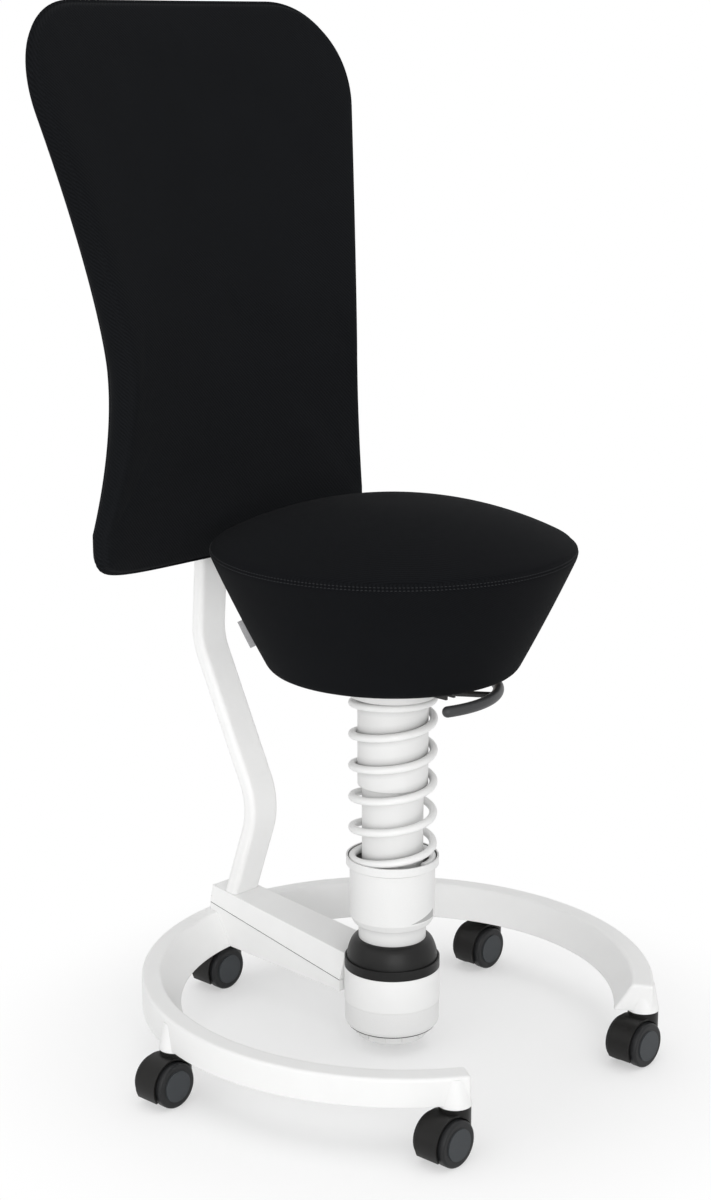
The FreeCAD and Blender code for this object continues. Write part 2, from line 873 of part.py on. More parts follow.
def seat_cushion():
    """Cushion with a crowned top and sides that draw in to the bottom."""
    bottom_r = seat_bottom_d / 2
    heel_r = seat_heel_d / 2
    rim_r = seat_rim_d / 2
    edge_r = rim_r - seat_edge_inset
    heel_z = seat_bottom + seat_heel_h
    rim_z = seat_bottom + seat_rim_h
    edge_z = rim_z + seat_edge_h
    top_z = seat_bottom + seat_crown_h
    rise = top_z - edge_z
    crown_r = (edge_r * edge_r + rise * rise) / (2 * rise)
    crown_mid_z = top_z - crown_r + math.sqrt(crown_r * crown_r - edge_r * edge_r / 4)
    cushion = turned([
        (0, seat_recess_top),
        (seat_recess_r, seat_recess_top),
        (seat_recess_r, seat_bottom),
        (bottom_r, seat_bottom),
        ((bottom_r + heel_r) / 2 + seat_heel_bulge, (seat_bottom + heel_z) / 2 - seat_heel_bulge,
         heel_r, heel_z),
        ((heel_r + rim_r) / 2 + seat_side_bulge, (heel_z + rim_z) / 2, rim_r, rim_z),
        ((rim_r + edge_r) / 2 + seat_rim_bulge, (rim_z + edge_z) / 2, edge_r, edge_z),
        (edge_r / 2, crown_mid_z, 0, top_z),
    ])
    return cushion.cut(label_tab())


save("seat_plate", seat_plate())
save("seat_pan", seat_pan())
save("seat_screws", seat_screws())
save("seat_cushion", seat_cushion())
save("label_tab", label_tab())


# Release lever

def lever_pin():
    """Pin through the bracket's cheeks."""
    half_l = lever_eye_w / 2 + bracket_side_gap + bracket_wall
    return bar(V(lever_x - half_l, lever_pivot_y, lever_z), V(lever_x + half_l, lever_pivot_y, lever_z),
               lever_pin_d / 2)


def lever_bracket():
    """Bracket under the plate with two cheeks."""
    inner = lever_eye_w / 2 + bracket_side_gap
    outer = inner + bracket_wall
    front = lever_pivot_y - bracket_half_l
    back = lever_pivot_y + bracket_half_l
    low = lever_z - bracket_foot
    bracket = block(lever_x - outer, lever_x + outer, front, back, low, plate_bottom)
    slot_top = lever_z + lever_eye_d / 2 + bracket_slot_gap
    slot = block(lever_x - inner, lever_x + inner, front - cut_over, back + cut_over, low - cut_over, slot_top)
    return bracket.cut(slot).cut(lever_pin())


def lever_wire():
    """Thin rod from the eye, bent towards the grip."""
    start = V(lever_x, lever_pivot_y, lever_z)
    knee = V(lever_x, lever_knee_y, lever_z)
    end = V(grip_joint[0], grip_joint[1], lever_z)
    radius = lever_rod_d / 2
    return bar(start, knee, radius).fuse([Part.makeSphere(radius, knee), bar(knee, end, radius)])


def release_lever():
    """Eye on the pin, with the thin rod."""
    half_w = ALONG_X * (lever_eye_w / 2)
    centre = V(lever_x, lever_pivot_y, lever_z)
    lever = bar(centre - half_w, centre + half_w, lever_eye_d / 2).fuse(lever_wire())
    bore = bar(centre - half_w * 2, centre + half_w * 2, lever_pin_d / 2 + run_clear)
    return lever.cut(bore).removeSplitter()


def lever_grip():
    """Thick grip, an arc that follows the seat's edge, bored for the rod."""
    ends = [V(p[0], p[1], lever_z) for p in (grip_free_end, grip_middle, grip_far_end)]
    arc = Part.Arc(*ends)
    heading = arc.tangent(arc.FirstParameter)[0]
    circle = Part.Wire(Part.makeCircle(grip_d / 2, ends[0], heading))
    grip = swept(circle, Part.Wire([arc.toShape()]))
    balls = [Part.makeSphere(grip_d / 2, p) for p in (ends[0], ends[-1])]
    return grip.fuse(balls).removeSplitter().cut(lever_wire())


save("lever_bracket", lever_bracket())
save("lever_pin", lever_pin())
save("release_lever", release_lever())
save("lever_grip", lever_grip())


# Back upright with its shoe

def rounded_path(points, radii):
    """Wire of straight runs joined by tangent arcs at its inner points."""
    edges = []
    here = points[0]
    for before, corner, after, radius in zip(points, points[1:], points[2:], radii):
        coming = (corner - before).normalize()
        going = (after - corner).normalize()
        half_turn = coming.getAngle(going) / 2
        reach = radius * math.tan(half_turn)
        start = corner - coming * reach
        end = corner + going * reach
        edges.append(Part.makeLine(here, start))
        edges.append(tangent_arc(start, coming, end))
        here = end
    edges.append(Part.makeLine(here, points[-1]))
    return Part.Wire(edges)


def upright_bar():
    """Bent bar of rounded section."""
    corners = [upright_foot, upright_knee, upright_bend, upright_lean, (upright_lean[0], upright_top_z)]
    points = [on_yz(*c) for c in corners]
    path = rounded_path(points, [upright_knee_r, upright_bend_r, upright_lean_r])
    start = points[0]
    depth = (points[1] - start).normalize().cross(ALONG_X)
    half_w = upright_w / 2
    half_t = upright_t / 2
    flat_w = half_w - upright_edge_r
    flat_t = half_t - upright_edge_r
    bow = upright_edge_r * math.sqrt(0.5)
    section = outline([
        (-flat_w - bow, -flat_t - bow, -flat_w, -half_t),
        (flat_w, -half_t),
        (flat_w + bow, -flat_t - bow, half_w, -flat_t),
        (half_w, flat_t),
        (flat_w + bow, flat_t + bow, flat_w, half_t),
        (-flat_w, half_t),
        (-flat_w - bow, flat_t + bow, -half_w, flat_t),
        (-half_w, -flat_t),
    ], lambda x, v: start + ALONG_X * x + depth * v)
    return swept(section, path)


def shoe():
    """Wedge on the arm, hollowed round the hub, with a key that bears on the arm."""
    front_z = arm_front_z + shoe_gap
    rear_z = arm_rear_z + shoe_gap
    body = Part.makeLoft([
        across(arm_hub_half_w, arm_hub_half_w - shoe_front_inset, arm_front_y, front_z, front_z + shoe_front_h),
        across(arm_ring_half_w, arm_ring_half_w - shoe_rear_inset, arm_rear_y, rear_z, rear_z + shoe_rear_h),
    ], True, True)
    key = Part.makeLoft([
        across(shoe_key_half_w, shoe_key_half_w, arm_front_y, arm_front_z, front_z + shoe_gap),
        across(shoe_key_half_w, shoe_key_half_w, arm_rear_y, arm_rear_z, rear_z + shoe_gap),
    ], True, True)
    return body.fuse(key).cut(rod(hub_r + shoe_hub_gap, ring_bottom, 2 * hub_top))


save("back_upright", shoe().fuse(upright_bar()).cut(shoe_bolts()).removeSplitter())


# Back pad, shell and mounting

def corner_loss(from_edge, radius):
    """How far a rounded corner has drawn in at a distance from its edge."""
    rest = max(0.0, radius - from_edge)
    return radius - math.sqrt(radius * radius - rest * rest)


def pad_sizes(z):
    """Full half-width, half-width left by the round ends, edge place, thickness and rear swell at a height."""
    if z > pad_waist_z:
        share = (z - pad_waist_z) / (pad_head_z - pad_waist_z)
        grown = share ** pad_rise_power
        end_w, end_y, end_t, end_swell = pad_head_half_w, pad_head_y, pad_head_t, pad_head_swell
    else:
        share = min(1.0, (pad_waist_z - z) / (pad_waist_z - pad_round_z))
        grown = share ** pad_fall_power
        end_w, end_y, end_t, end_swell = pad_foot_half_w, pad_foot_y, pad_foot_t, pad_foot_swell
    full = pad_waist_half_w + (end_w - pad_waist_half_w) * grown
    y = pad_waist_y + (end_y - pad_waist_y) * grown
    thick = pad_waist_t + (end_t - pad_waist_t) * share
    swell = pad_waist_swell + (end_swell - pad_waist_swell) * share
    low_share = max(0.0, (pad_round_z - z) / (pad_round_z - pad_bottom_z))
    half_w = full * math.sqrt(1 - low_share ** pad_bottom_power) - corner_loss(pad_top_z - z, pad_corner_r)
    return full, half_w, y, thick, swell


def pad_heights():
    """Heights of the pad's sections, closer together at its round ends."""
    low = pad_round_z - pad_bottom_z
    heights = []
    for i in range(pad_bottom_steps):
        share = pad_bottom_flat_share * math.cos(math.radians(90 * i / pad_bottom_steps))
        heights.append(pad_round_z - low * share)
    corner_z = pad_top_z - pad_corner_r
    for i in range(pad_middle_steps):
        heights.append(pad_round_z + (corner_z - pad_round_z) * i / (pad_middle_steps - 1))
    for i in range(1, pad_corner_steps + 1):
        angle = math.radians(90 * i / pad_corner_steps)
        heights.append(corner_z + pad_corner_r * math.sin(angle))
    return heights


def pad_section(z):
    """Plan of the pad: wrapped front, bulged sides and a swelled rear."""
    full, half_w, y, thick, swell = pad_sizes(z)
    round_off = corner_loss(min(pad_top_z - z, z - pad_bottom_z), pad_edge_r)
    k = half_w / full
    front = y + pad_wrap * (1 - k * k) + round_off
    rear_w = half_w + pad_rear_flare * k
    rear = y + thick + swell * (1 - k * k) - round_off
    side_y = (front + rear) / 2
    side_x = (half_w + rear_w) / 2 + pad_side_bulge_share * (rear - front)
    return outline([
        (-side_x, side_y, -half_w, front),
        (0, y + pad_wrap + round_off, half_w, front),
        (side_x, side_y, rear_w, rear),
        (0, y + thick + swell - round_off, -rear_w, rear),
    ], lambda px, py: V(px, py, z))


def shell_section(z):
    """Plan of the shell's band, which starts inside the pad and is trimmed to it afterwards."""
    full, half_w, y, thick, swell = pad_sizes(z)
    side = half_w - shell_margin
    k = side / full
    rear = y + thick + swell + shell_gap + shell_t
    rear_edge = rear - swell * k * k
    depth = shell_t + shell_trim
    return outline([
        (-side, rear_edge - depth),
        (0, rear - depth, side, rear_edge - depth),
        (side, rear_edge),
        (0, rear, -side, rear_edge),
    ], lambda px, py: V(px, py, z))


def back_screws():
    """Screws through the plate into the shell's boss."""
    screws = []
    for side_x in (-1, 1):
        for side_z in (-1, 1):
            x = side_x * mount_screw_pitch_x / 2
            z = (mount_low_z + mount_high_z) / 2 + side_z * mount_screw_pitch_z / 2
            rear = V(x, upright_front_y, z)
            head = bar(rear, rear + ALONG_Y * mount_screw_head_h, mount_screw_head_d / 2)
            shank = bar(V(x, mount_front_y - mount_screw_grip, z), rear, mount_screw_d / 2)
            screws.append(head.fuse(shank).removeSplitter())
    return Part.makeCompound(screws)


def back_shell(pad):
    """Thin shell behind the pad, trimmed to it with a gap, with a flat boss for the plate."""
    low = pad_bottom_z + 2 * shell_margin
    high = pad_top_z - shell_margin
    band = Part.makeLoft([shell_section(z) for z in pad_heights() if low <= z <= high], True, False)
    boss = block(-mount_w / 2, mount_w / 2, pad_waist_y + pad_waist_t, mount_front_y, mount_low_z, mount_high_z)
    moved_pad = pad.copy()
    moved_pad.translate(ALONG_Y * shell_gap)
    seat_w = mount_w / 2 + seat_clear
    plate_seat = block(-seat_w, seat_w, mount_front_y, upright_front_y,
                       mount_low_z - seat_clear, mount_high_z + seat_clear)
    return band.fuse(boss).cut(moved_pad).cut(plate_seat).cut(back_screws()).removeSplitter()


back_pad = Part.makeLoft([pad_section(z) for z in pad_heights()], True, False)
mount_plate = block(-mount_w / 2, mount_w / 2, mount_front_y, upright_front_y, mount_low_z, mount_high_z)
save("back_cushion", back_pad)
save("back_shell", back_shell(back_pad))
save("back_mount_plate", mount_plate.cut(back_screws()))
save("back_screws", back_screws())
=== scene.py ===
import logging
import math
from dataclasses import dataclass, replace
from enum import Enum
from typing import Any, Dict, Iterable, List, Optional, Tuple, Union

import bpy
import numpy as np
from mathutils import Matrix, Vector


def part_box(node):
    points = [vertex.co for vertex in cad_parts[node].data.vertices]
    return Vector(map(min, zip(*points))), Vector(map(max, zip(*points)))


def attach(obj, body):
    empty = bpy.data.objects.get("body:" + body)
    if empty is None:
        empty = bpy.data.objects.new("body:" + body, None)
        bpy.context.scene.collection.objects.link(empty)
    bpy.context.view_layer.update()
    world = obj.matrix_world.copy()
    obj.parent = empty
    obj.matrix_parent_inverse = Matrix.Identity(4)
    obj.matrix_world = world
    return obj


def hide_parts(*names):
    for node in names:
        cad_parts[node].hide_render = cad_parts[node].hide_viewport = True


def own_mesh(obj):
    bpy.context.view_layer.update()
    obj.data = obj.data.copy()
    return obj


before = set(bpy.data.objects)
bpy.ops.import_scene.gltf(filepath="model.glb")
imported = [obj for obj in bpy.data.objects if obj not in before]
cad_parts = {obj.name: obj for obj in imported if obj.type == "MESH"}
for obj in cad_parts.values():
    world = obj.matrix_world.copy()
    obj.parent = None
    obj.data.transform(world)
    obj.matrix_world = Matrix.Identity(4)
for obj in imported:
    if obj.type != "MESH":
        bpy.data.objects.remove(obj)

log = logging.getLogger("stool")
Triple = Tuple[float, float, float]
Colour = Triple
Socket = bpy.types.NodeSocket
MM = 0.001
UP = (0.0, 0.0, 1.0)
WHITE = (1.0, 1.0, 1.0)
EDGE_GAIN = 5.0
STITCH_SIDES = 6
STITCH_DIP = (0.35, 1.1)


class Wire:
    """A value in a material. Its operators add Math nodes."""

    def __init__(self, bench: "Bench", socket: Socket) -> None:
        """Keep the socket and the tree that it belongs to."""
        self.bench = bench
        self.socket = socket

    def math(self, operation: str, *values: "Value") -> "Wire":
        """Add one Math node.

        Args:
            operation: what the node works out.
            values: its inputs, in order.

        Returns:
            The node's result.
        """
        return self.bench.wire("ShaderNodeMath", {"operation": operation}, dict(enumerate(values)))

    def __add__(self, other: "Value") -> "Wire":
        """This plus the other."""
        return self.math("ADD", self, other)

    def __radd__(self, other: "Value") -> "Wire":
        """The other plus this."""
        return self.math("ADD", other, self)

    def __sub__(self, other: "Value") -> "Wire":
        """This less the other."""
        return self.math("SUBTRACT", self, other)

    def __rsub__(self, other: "Value") -> "Wire":
        """The other less this."""
        return self.math("SUBTRACT", other, self)

    def __mul__(self, other: "Value") -> "Wire":
        """This times the other."""
        return self.math("MULTIPLY", self, other)

    def __rmul__(self, other: "Value") -> "Wire":
        """The other times this."""
        return self.math("MULTIPLY", other, self)

    def __truediv__(self, other: "Value") -> "Wire":
        """This over the other."""
        return self.math("DIVIDE", self, other)

    def __rtruediv__(self, other: "Value") -> "Wire":
        """The other over this."""
        return self.math("DIVIDE", other, self)

    def floor(self) -> "Wire":
        """The whole number below."""
        return self.math("FLOOR", self)

    def fraction(self) -> "Wire":
        """What is left above the whole number."""
        return self.math("FRACT", self)

    def modulo(self, size: float) -> "Wire":
        """What is left over whole multiples of a size."""
        return self.math("FLOORED_MODULO", self, size)

    def sine(self) -> "Wire":
        """The sine of an angle."""
        return self.math("SINE", self)

    def below(self, limit: "Value") -> "Wire":
        """One where this is under a limit, and nothing elsewhere."""
        return self.math("LESS_THAN", self, limit)

    def above(self, limit: "Value") -> "Wire":
        """One where this is over a limit, and nothing elsewhere."""
        return self.math("GREATER_THAN", self, limit)

    def eased(self, low: float, high: float) -> "Wire":
        """Nothing up to low, one from high on, and a smooth rise between."""
        ends = {"Value": self, "From Min": low, "From Max": high}
        return self.bench.wire("ShaderNodeMapRange", {"interpolation_type": "SMOOTHSTEP"}, ends)


Value = Union[Wire, float]
Paint = Union[Socket, Colour]


class Bench:
    """A node tree and the ways to add to it."""

    def __init__(self, owner: Union[bpy.types.Material, bpy.types.World]) -> None:
        """Empty the tree of a material or of the world, and keep it."""
        owner.use_nodes = True
        self.tree = owner.node_tree
        self.tree.nodes.clear()
        self.rounded: Dict[float, Socket] = {}

    def node(self, kind: str, settings: Optional[Dict[str, Any]] = None,
             inputs: Optional[Dict[Any, Any]] = None) -> bpy.types.Node:
        """Add a node.

        Args:
            kind: the node's type.
            settings: its own settings, which are set first.
            inputs: a value, wire or socket for each input, by name or place.

        Returns:
            The node.
        """
        made = self.tree.nodes.new(kind)
        for key, value in (settings or {}).items():
            setattr(made, key, value)
        for key, value in (inputs or {}).items():
            target = made.inputs[key]
            source = value.socket if isinstance(value, Wire) else value
            if isinstance(source, Socket):
                self.tree.links.new(source, target)
            elif target.type == "RGBA":
                target.default_value = (*source, 1.0)
            else:
                target.default_value = source
        return made

    def wire(self, kind: str, settings: Optional[Dict[str, Any]] = None,
             inputs: Optional[Dict[Any, Any]] = None, output: Union[int, str] = 0) -> Wire:
        """Add a node and wrap one of its outputs.

        Args:
            kind: the node's type.
            settings: its own settings.
            inputs: a value, wire or socket for each input.
            output: the output's place or name.

        Returns:
            The output as a value.
        """
        return Wire(self, self.node(kind, settings, inputs).outputs[output])

    def place(self) -> Socket:
        """Where a point is on its object."""
        return self.node("ShaderNodeTexCoord").outputs["Object"]

    def laid(self) -> Socket:
        """Where a point is on the cloth it was cut from, in metres."""
        return self.node("ShaderNodeUVMap").outputs["UV"]

    def split(self, vector: Socket) -> Tuple[Wire, Wire, Wire]:
        """Take a vector apart into its three values."""
        parts = self.node("ShaderNodeSeparateXYZ", {}, {0: vector})
        return Wire(self, parts.outputs[0]), Wire(self, parts.outputs[1]), Wire(self, parts.outputs[2])

    def stretched(self, vector: Socket, scale: Triple) -> Socket:
        """Scale a vector along each axis."""
        return self.node("ShaderNodeVectorMath", {"operation": "MULTIPLY"}, {0: vector, 1: scale}).outputs[0]

    def noise(self, vector: Socket, size: float, detail: float = 2.0) -> Wire:
        """Soft noise whose lumps are about a size across."""
        return self.wire("ShaderNodeTexNoise", {}, {"Vector": vector, "Scale": 1.0 / size, "Detail": detail})

    def mix(self, share: Value, first: Paint, second: Paint) -> Socket:
        """Blend two colours.

        Args:
            share: how much of the second colour, from 0 to 1.
            first: the colour at 0.
            second: the colour at 1.

        Returns:
            The blended colour's socket.
        """
        blend = self.node("ShaderNodeMix", {"data_type": "RGBA", "clamp_factor": True},
                          {0: share, 6: first, 7: second})
        return blend.outputs[2]

    def softened(self, radius: float) -> Socket:
        """The normal with its edges rounded to a radius."""
        if radius not in self.rounded:
            self.rounded[radius] = self.node("ShaderNodeBevel", {"samples": 4}, {"Radius": radius}).outputs[0]
        return self.rounded[radius]

    def edges(self, radius: float) -> Wire:
        """One on edges and nothing on flats: how far the rounded normal turns from the true one."""
        true = self.node("ShaderNodeNewGeometry").outputs["True Normal"]
        facing = self.wire("ShaderNodeVectorMath", {"operation": "DOT_PRODUCT"},
                           {0: self.softened(radius), 1: true}, "Value")
        return ((1.0 - facing) * EDGE_GAIN).eased(0.05, 1.0)

    def openness(self, reach: float) -> Wire:
        """One in the open and nothing deep in a crevice, by what stands within a reach."""
        return self.wire("ShaderNodeAmbientOcclusion", {"samples": 6}, {"Distance": reach}, "AO")

    def bump(self, height: Wire, depth: float, strength: float = 1.0,
             normal: Optional[Socket] = None) -> Socket:
        """Turn a height into a normal.

        Args:
            height: the height, from 0 to 1.
            depth: how deep a height of 1 is, in metres.
            strength: how much of it counts.
            normal: the normal under it, if it isn't the surface's own.

        Returns:
            The normal's socket.
        """
        inputs: Dict[Any, Any] = {"Height": height, "Distance": depth, "Strength": strength}
        if normal is not None:
            inputs["Normal"] = normal
        return self.node("ShaderNodeBump", {}, inputs).outputs[0]

    def surface(self, colour: Paint, roughness: Value, normal: Socket, **fixed: Any) -> None:
        """End the tree in a principled surface.

        Args:
            colour: its colour.
            roughness: its roughness.
            normal: its normal.
            fixed: values that are the same all over, by socket name with _ for a space.
        """
        inputs: Dict[Any, Any] = {"Base Color": colour, "Roughness": roughness, "Normal": normal}
        inputs.update({key.replace("_", " "): value for key, value in fixed.items()})
        shader = self.node("ShaderNodeBsdfPrincipled", {}, inputs)
        self.node("ShaderNodeOutputMaterial", {}, {"Surface": shader.outputs[0]})


@dataclass(frozen=True)
class Finish:
    """What every finish has: a name, a colour, and a roughness that is a little uneven."""

    name: str
    colour: Colour
    roughness: float
    uneven: float = 0.1

    def dress(self, bench: Bench) -> None:
        """Fill the material's tree."""
        raise NotImplementedError

    def toned(self, by: float) -> Colour:
        """The colour made darker or lighter by a factor."""
        red, green, blue = self.colour
        return red * by, green * by, blue * by

    def rough(self, patches: Wire) -> Wire:
        """The roughness, plus its unevenness times how far the patches are from their middle."""
        return self.roughness + self.uneven * (patches - 0.5)

    def material(self) -> bpy.types.Material:
        """The finish's material, made the first time it is asked for."""
        made = bpy.data.materials.get(self.name)
        if made is None:
            made = bpy.data.materials.new(self.name)
            self.dress(Bench(made))
        return made


@dataclass(frozen=True)
class SprayedPaint(Finish):
    """Satin paint: a fine orange peel, faint clouds of dust, rubbed edges, and painted shade that darkens its
    crevices.
    """

    peel: float = 1.4 * MM
    peel_depth: float = 0.02 * MM
    cloud: float = 45 * MM
    edge_r: float = 1.2 * MM
    crevice: float = 9.0 * MM
    crevice_shade: float = 0.0
    dusty: float = 0.982
    rubbed: float = 0.93
    crevice_shade_tone: float = 0.2

    def dress(self, bench: Bench) -> None:
        """Fill the material's tree."""
        place = bench.place()
        clouds = bench.noise(place, self.cloud, 3.0)
        edges = bench.edges(self.edge_r)
        colour = bench.mix(clouds.eased(0.3, 0.7), self.toned(self.dusty), self.colour)
        colour = bench.mix(edges * 0.3, colour, self.toned(self.rubbed))
        # Painted shade: the colour darkens in crevices and under close parts, standing in for contact
        # shadows.
        if self.crevice_shade:
            painted_crevice_shade = (1.0 - bench.openness(self.crevice)) * self.crevice_shade
            colour = bench.mix(painted_crevice_shade, colour, self.toned(self.crevice_shade_tone))
        rough = self.rough(clouds) + 0.06 * edges
        peel = bench.noise(place, self.peel)
        bench.surface(colour, rough, bench.bump(peel, self.peel_depth, 0.4, bench.softened(self.edge_r)),
                      Specular_IOR_Level=0.35)


@dataclass(frozen=True)
class Moulded(Finish):
    """Moulded plastic with a fine spark grain, uneven gloss and rubbed edges."""

    uneven: float = 0.14
    patch: float = 22 * MM
    grain: float = 0.5 * MM
    grain_depth: float = 0.03 * MM
    edge_r: float = 0.8 * MM
    fleck: float = 0.8
    rub: float = 1.5
    specular: float = 0.3

    def dress(self, bench: Bench) -> None:
        """Fill the material's tree."""
        place = bench.place()
        self.finish(bench, place, self.colour)

    def finish(self, bench: Bench, place: Socket, colour: Paint) -> None:
        """Add grain, gloss and rubbed edges over a colour.

        Args:
            bench: the material's tree.
            place: the place on the object.
            colour: the colour under them.
        """
        patches = bench.noise(place, self.patch, 3.0)
        grain = bench.noise(place, self.grain, 3.0)
        edges = bench.edges(self.edge_r)
        fleck = bench.mix(grain.eased(0.35, 0.7) * 0.25, colour, self.toned(self.fleck))
        worn = bench.mix(edges * 0.45, fleck, self.toned(self.rub))
        rough = self.rough(patches) - 0.05 * edges
        bench.surface(worn, rough, bench.bump(grain, self.grain_depth, 0.6, bench.softened(self.edge_r)),
                      Specular_IOR_Level=self.specular)


@dataclass(frozen=True)
class MarkedPlastic(Moulded):
    """Moulded plastic with painted shade that darkens its bore inwards, and a plain printed wedge low on its
    side.
    """

    mark: Colour = (0.33, 0.33, 0.33)
    start: float = -1.967
    end: float = -1.164
    low: float = 158.3 * MM
    high: float = 168.0 * MM
    ink: float = 0.85
    bore_reach: float = 22.0 * MM
    bore_shade_tone: float = 0.08

    def dress(self, bench: Bench) -> None:
        """Fill the material's tree."""
        place = bench.place()
        x, y, z = bench.split(place)
        # Painted shade: the bore's colour darkens inwards, where less of the surroundings reaches it.
        deep = 0.9 * (1.0 - bench.openness(self.bore_reach)).eased(0.35, 0.95)
        along = (x.math("ARCTAN2", y, x) - self.start) / (self.end - self.start)
        inside = along.above(0.0) * along.below(1.0)
        printed = inside * z.above(self.low) * z.below(self.low + along * (self.high - self.low))
        shaded = bench.mix(deep, self.colour, self.toned(self.bore_shade_tone))
        self.finish(bench, place, bench.mix(printed * self.ink, shaded, self.mark))


@dataclass(frozen=True)
class WheelPlastic(Moulded):
    """Moulded plastic of a castor wheel: a dark tread, and a paler cap round the axle."""

    axle: Tuple[float, float] = (0.0, 0.0)
    cap: Colour = (0.043, 0.048, 0.053)
    cap_r: float = 17.4 * MM

    def dress(self, bench: Bench) -> None:
        """Fill the material's tree."""
        place = bench.place()
        x, _, z = bench.split(place)
        aside, above = x - self.axle[0], z - self.axle[1]
        on_cap = x.math("SQRT", aside * aside + above * above).below(self.cap_r)
        self.finish(bench, place, bench.mix(on_cap, self.colour, self.cap))


@dataclass(frozen=True)
class SoftRubber(Finish):
    """Dull rubber with a dusty bloom and fine pores."""

    uneven: float = 0.16
    patch: float = 14 * MM
    pore: float = 0.7 * MM
    pore_depth: float = 0.03 * MM
    edge_r: float = 1.2 * MM
    dusty: float = 1.7
    rubbed: float = 2.0

    def dress(self, bench: Bench) -> None:
        """Fill the material's tree."""
        place = bench.place()
        bloom = bench.noise(place, self.patch, 4.0)
        pores = bench.noise(place, self.pore, 2.0)
        edges = bench.edges(self.edge_r)
        colour = bench.mix(bloom.eased(0.45, 0.8) * 0.5, self.colour, self.toned(self.dusty))
        colour = bench.mix(edges * 0.4, colour, self.toned(self.rubbed))
        bench.surface(colour, self.rough(bloom),
                      bench.bump(pores, self.pore_depth, 0.5, bench.softened(self.edge_r)),
                      Specular_IOR_Level=0.3)


@dataclass(frozen=True)
class TurnedSteel(Finish):
    """Plain steel with fine turning lines round the upright axis and oily patches."""

    uneven: float = 0.2
    line: float = 6 * MM
    line_depth: float = 0.02 * MM
    line_stretch: Triple = (0.15, 0.15, 12.0)
    patch: float = 18 * MM
    edge_r: float = 0.5 * MM
    oiled: float = 0.7

    def dress(self, bench: Bench) -> None:
        """Fill the material's tree."""
        place = bench.place()
        lines = bench.noise(bench.stretched(place, self.line_stretch), self.line, 4.0)
        oil = bench.noise(place, self.patch, 3.0)
        colour = bench.mix(oil.eased(0.4, 0.75) * 0.5, self.colour, self.toned(self.oiled))
        rough = self.rough(lines) + 0.12 * (oil - 0.5)
        bench.surface(colour, rough, bench.bump(lines, self.line_depth, 0.5, bench.softened(self.edge_r)),
                      Metallic=1.0)


@dataclass(frozen=True)
class Plywood(Finish):
    """Beech plywood: long grain on the faces and dark glue lines on the edge."""

    uneven: float = 0.15
    ply: float = 1.7 * MM
    glue_share: float = 0.16
    glue_tone: float = 0.35
    grain: float = 4 * MM
    grain_depth: float = 0.08 * MM
    grain_stretch: Triple = (0.12, 1.0, 0.6)
    grain_tone: float = 0.66

    def dress(self, bench: Bench) -> None:
        """Fill the material's tree."""
        place = bench.place()
        grain = bench.noise(bench.stretched(place, self.grain_stretch), self.grain, 5.0)
        height = bench.split(place)[2]
        glue = (height / self.ply).fraction().below(self.glue_share)
        colour = bench.mix(grain.eased(0.3, 0.75), self.colour, self.toned(self.grain_tone))
        colour = bench.mix(glue * 0.6, colour, self.toned(self.glue_tone))
        bench.surface(colour, self.rough(grain), bench.bump(grain, self.grain_depth, 0.5))


class Weave(Enum):
    """How often a thread of the cloth goes under: each second one, or two in each four."""

    PLAIN = 2
    TWILL = 4


@dataclass(frozen=True)
class Cloth(Finish):
    """Woven cloth: threads of two tones over and under each other, with slubs and worn patches."""

    uneven: float = 0.08
    weave: Weave = Weave.TWILL
    pitch: float = 1.05 * MM
    dark: float = 0.5
    pale: float = 2.7
    depth: float = 0.22 * MM
    sheen: float = 0.008
    slub: float = 1.1 * MM
    patch: float = 70 * MM
    fuzz: float = 3.5 * MM

    def dress(self, bench: Bench) -> None:
        """Fill the material's tree.

        A warp thread is a half round along the cloth and a weft thread one across it. The warp is on top
        where the count of threads along and across, over the weave's repeat, leaves less than half of it.
        """
        place = bench.place()
        across, along, _ = bench.split(bench.laid())
        warp_count = across / self.pitch
        weft_count = along / self.pitch
        repeat = self.weave.value
        over = (warp_count.floor() + weft_count.floor()).modulo(repeat).below(repeat / 2 - 0.5)
        warp = (warp_count.fraction() * math.pi).sine()
        weft = (weft_count.fraction() * math.pi).sine()
        height = over * warp + (1.0 - over) * weft
        slub = bench.noise(place, self.slub, 3.0)
        worn = bench.noise(place, self.patch, 3.0)
        tone = 0.4 * height + 0.35 * over + 0.5 * (slub - 0.35) + 0.2 * (worn - 0.5)
        colour = bench.mix(tone, self.toned(self.dark), self.toned(self.pale))
        fuzz = bench.noise(place, self.fuzz, 3.0)
        lift = height * 0.7 + slub * 0.3 + fuzz * 0.5
        bench.surface(colour, self.rough(worn), bench.bump(lift, self.depth, 0.7),
                      Specular_IOR_Level=0.03, Sheen_Weight=self.sheen, Sheen_Roughness=0.6)


@dataclass(frozen=True)
class Thread(Finish):
    """Sewing thread of twisted strands."""

    strand: float = 0.5 * MM
    strand_depth: float = 0.1 * MM
    lint: float = 0.6 * MM
    dark: float = 0.6
    pale: float = 1.4

    def dress(self, bench: Bench) -> None:
        """Fill the material's tree."""
        place = bench.place()
        x, y, z = bench.split(place)
        strands = ((x + y + z) * (2 * math.pi / self.strand)).sine() * 0.5 + 0.5
        lint = bench.noise(place, self.lint, 3.0)
        tone = strands * 0.6 + lint * 0.4
        colour = bench.mix(tone, self.toned(self.dark), self.toned(self.pale))
        normal = bench.bump(strands, self.strand_depth, 0.6)
        bench.surface(colour, self.rough(lint), normal, Specular_IOR_Level=0.15)


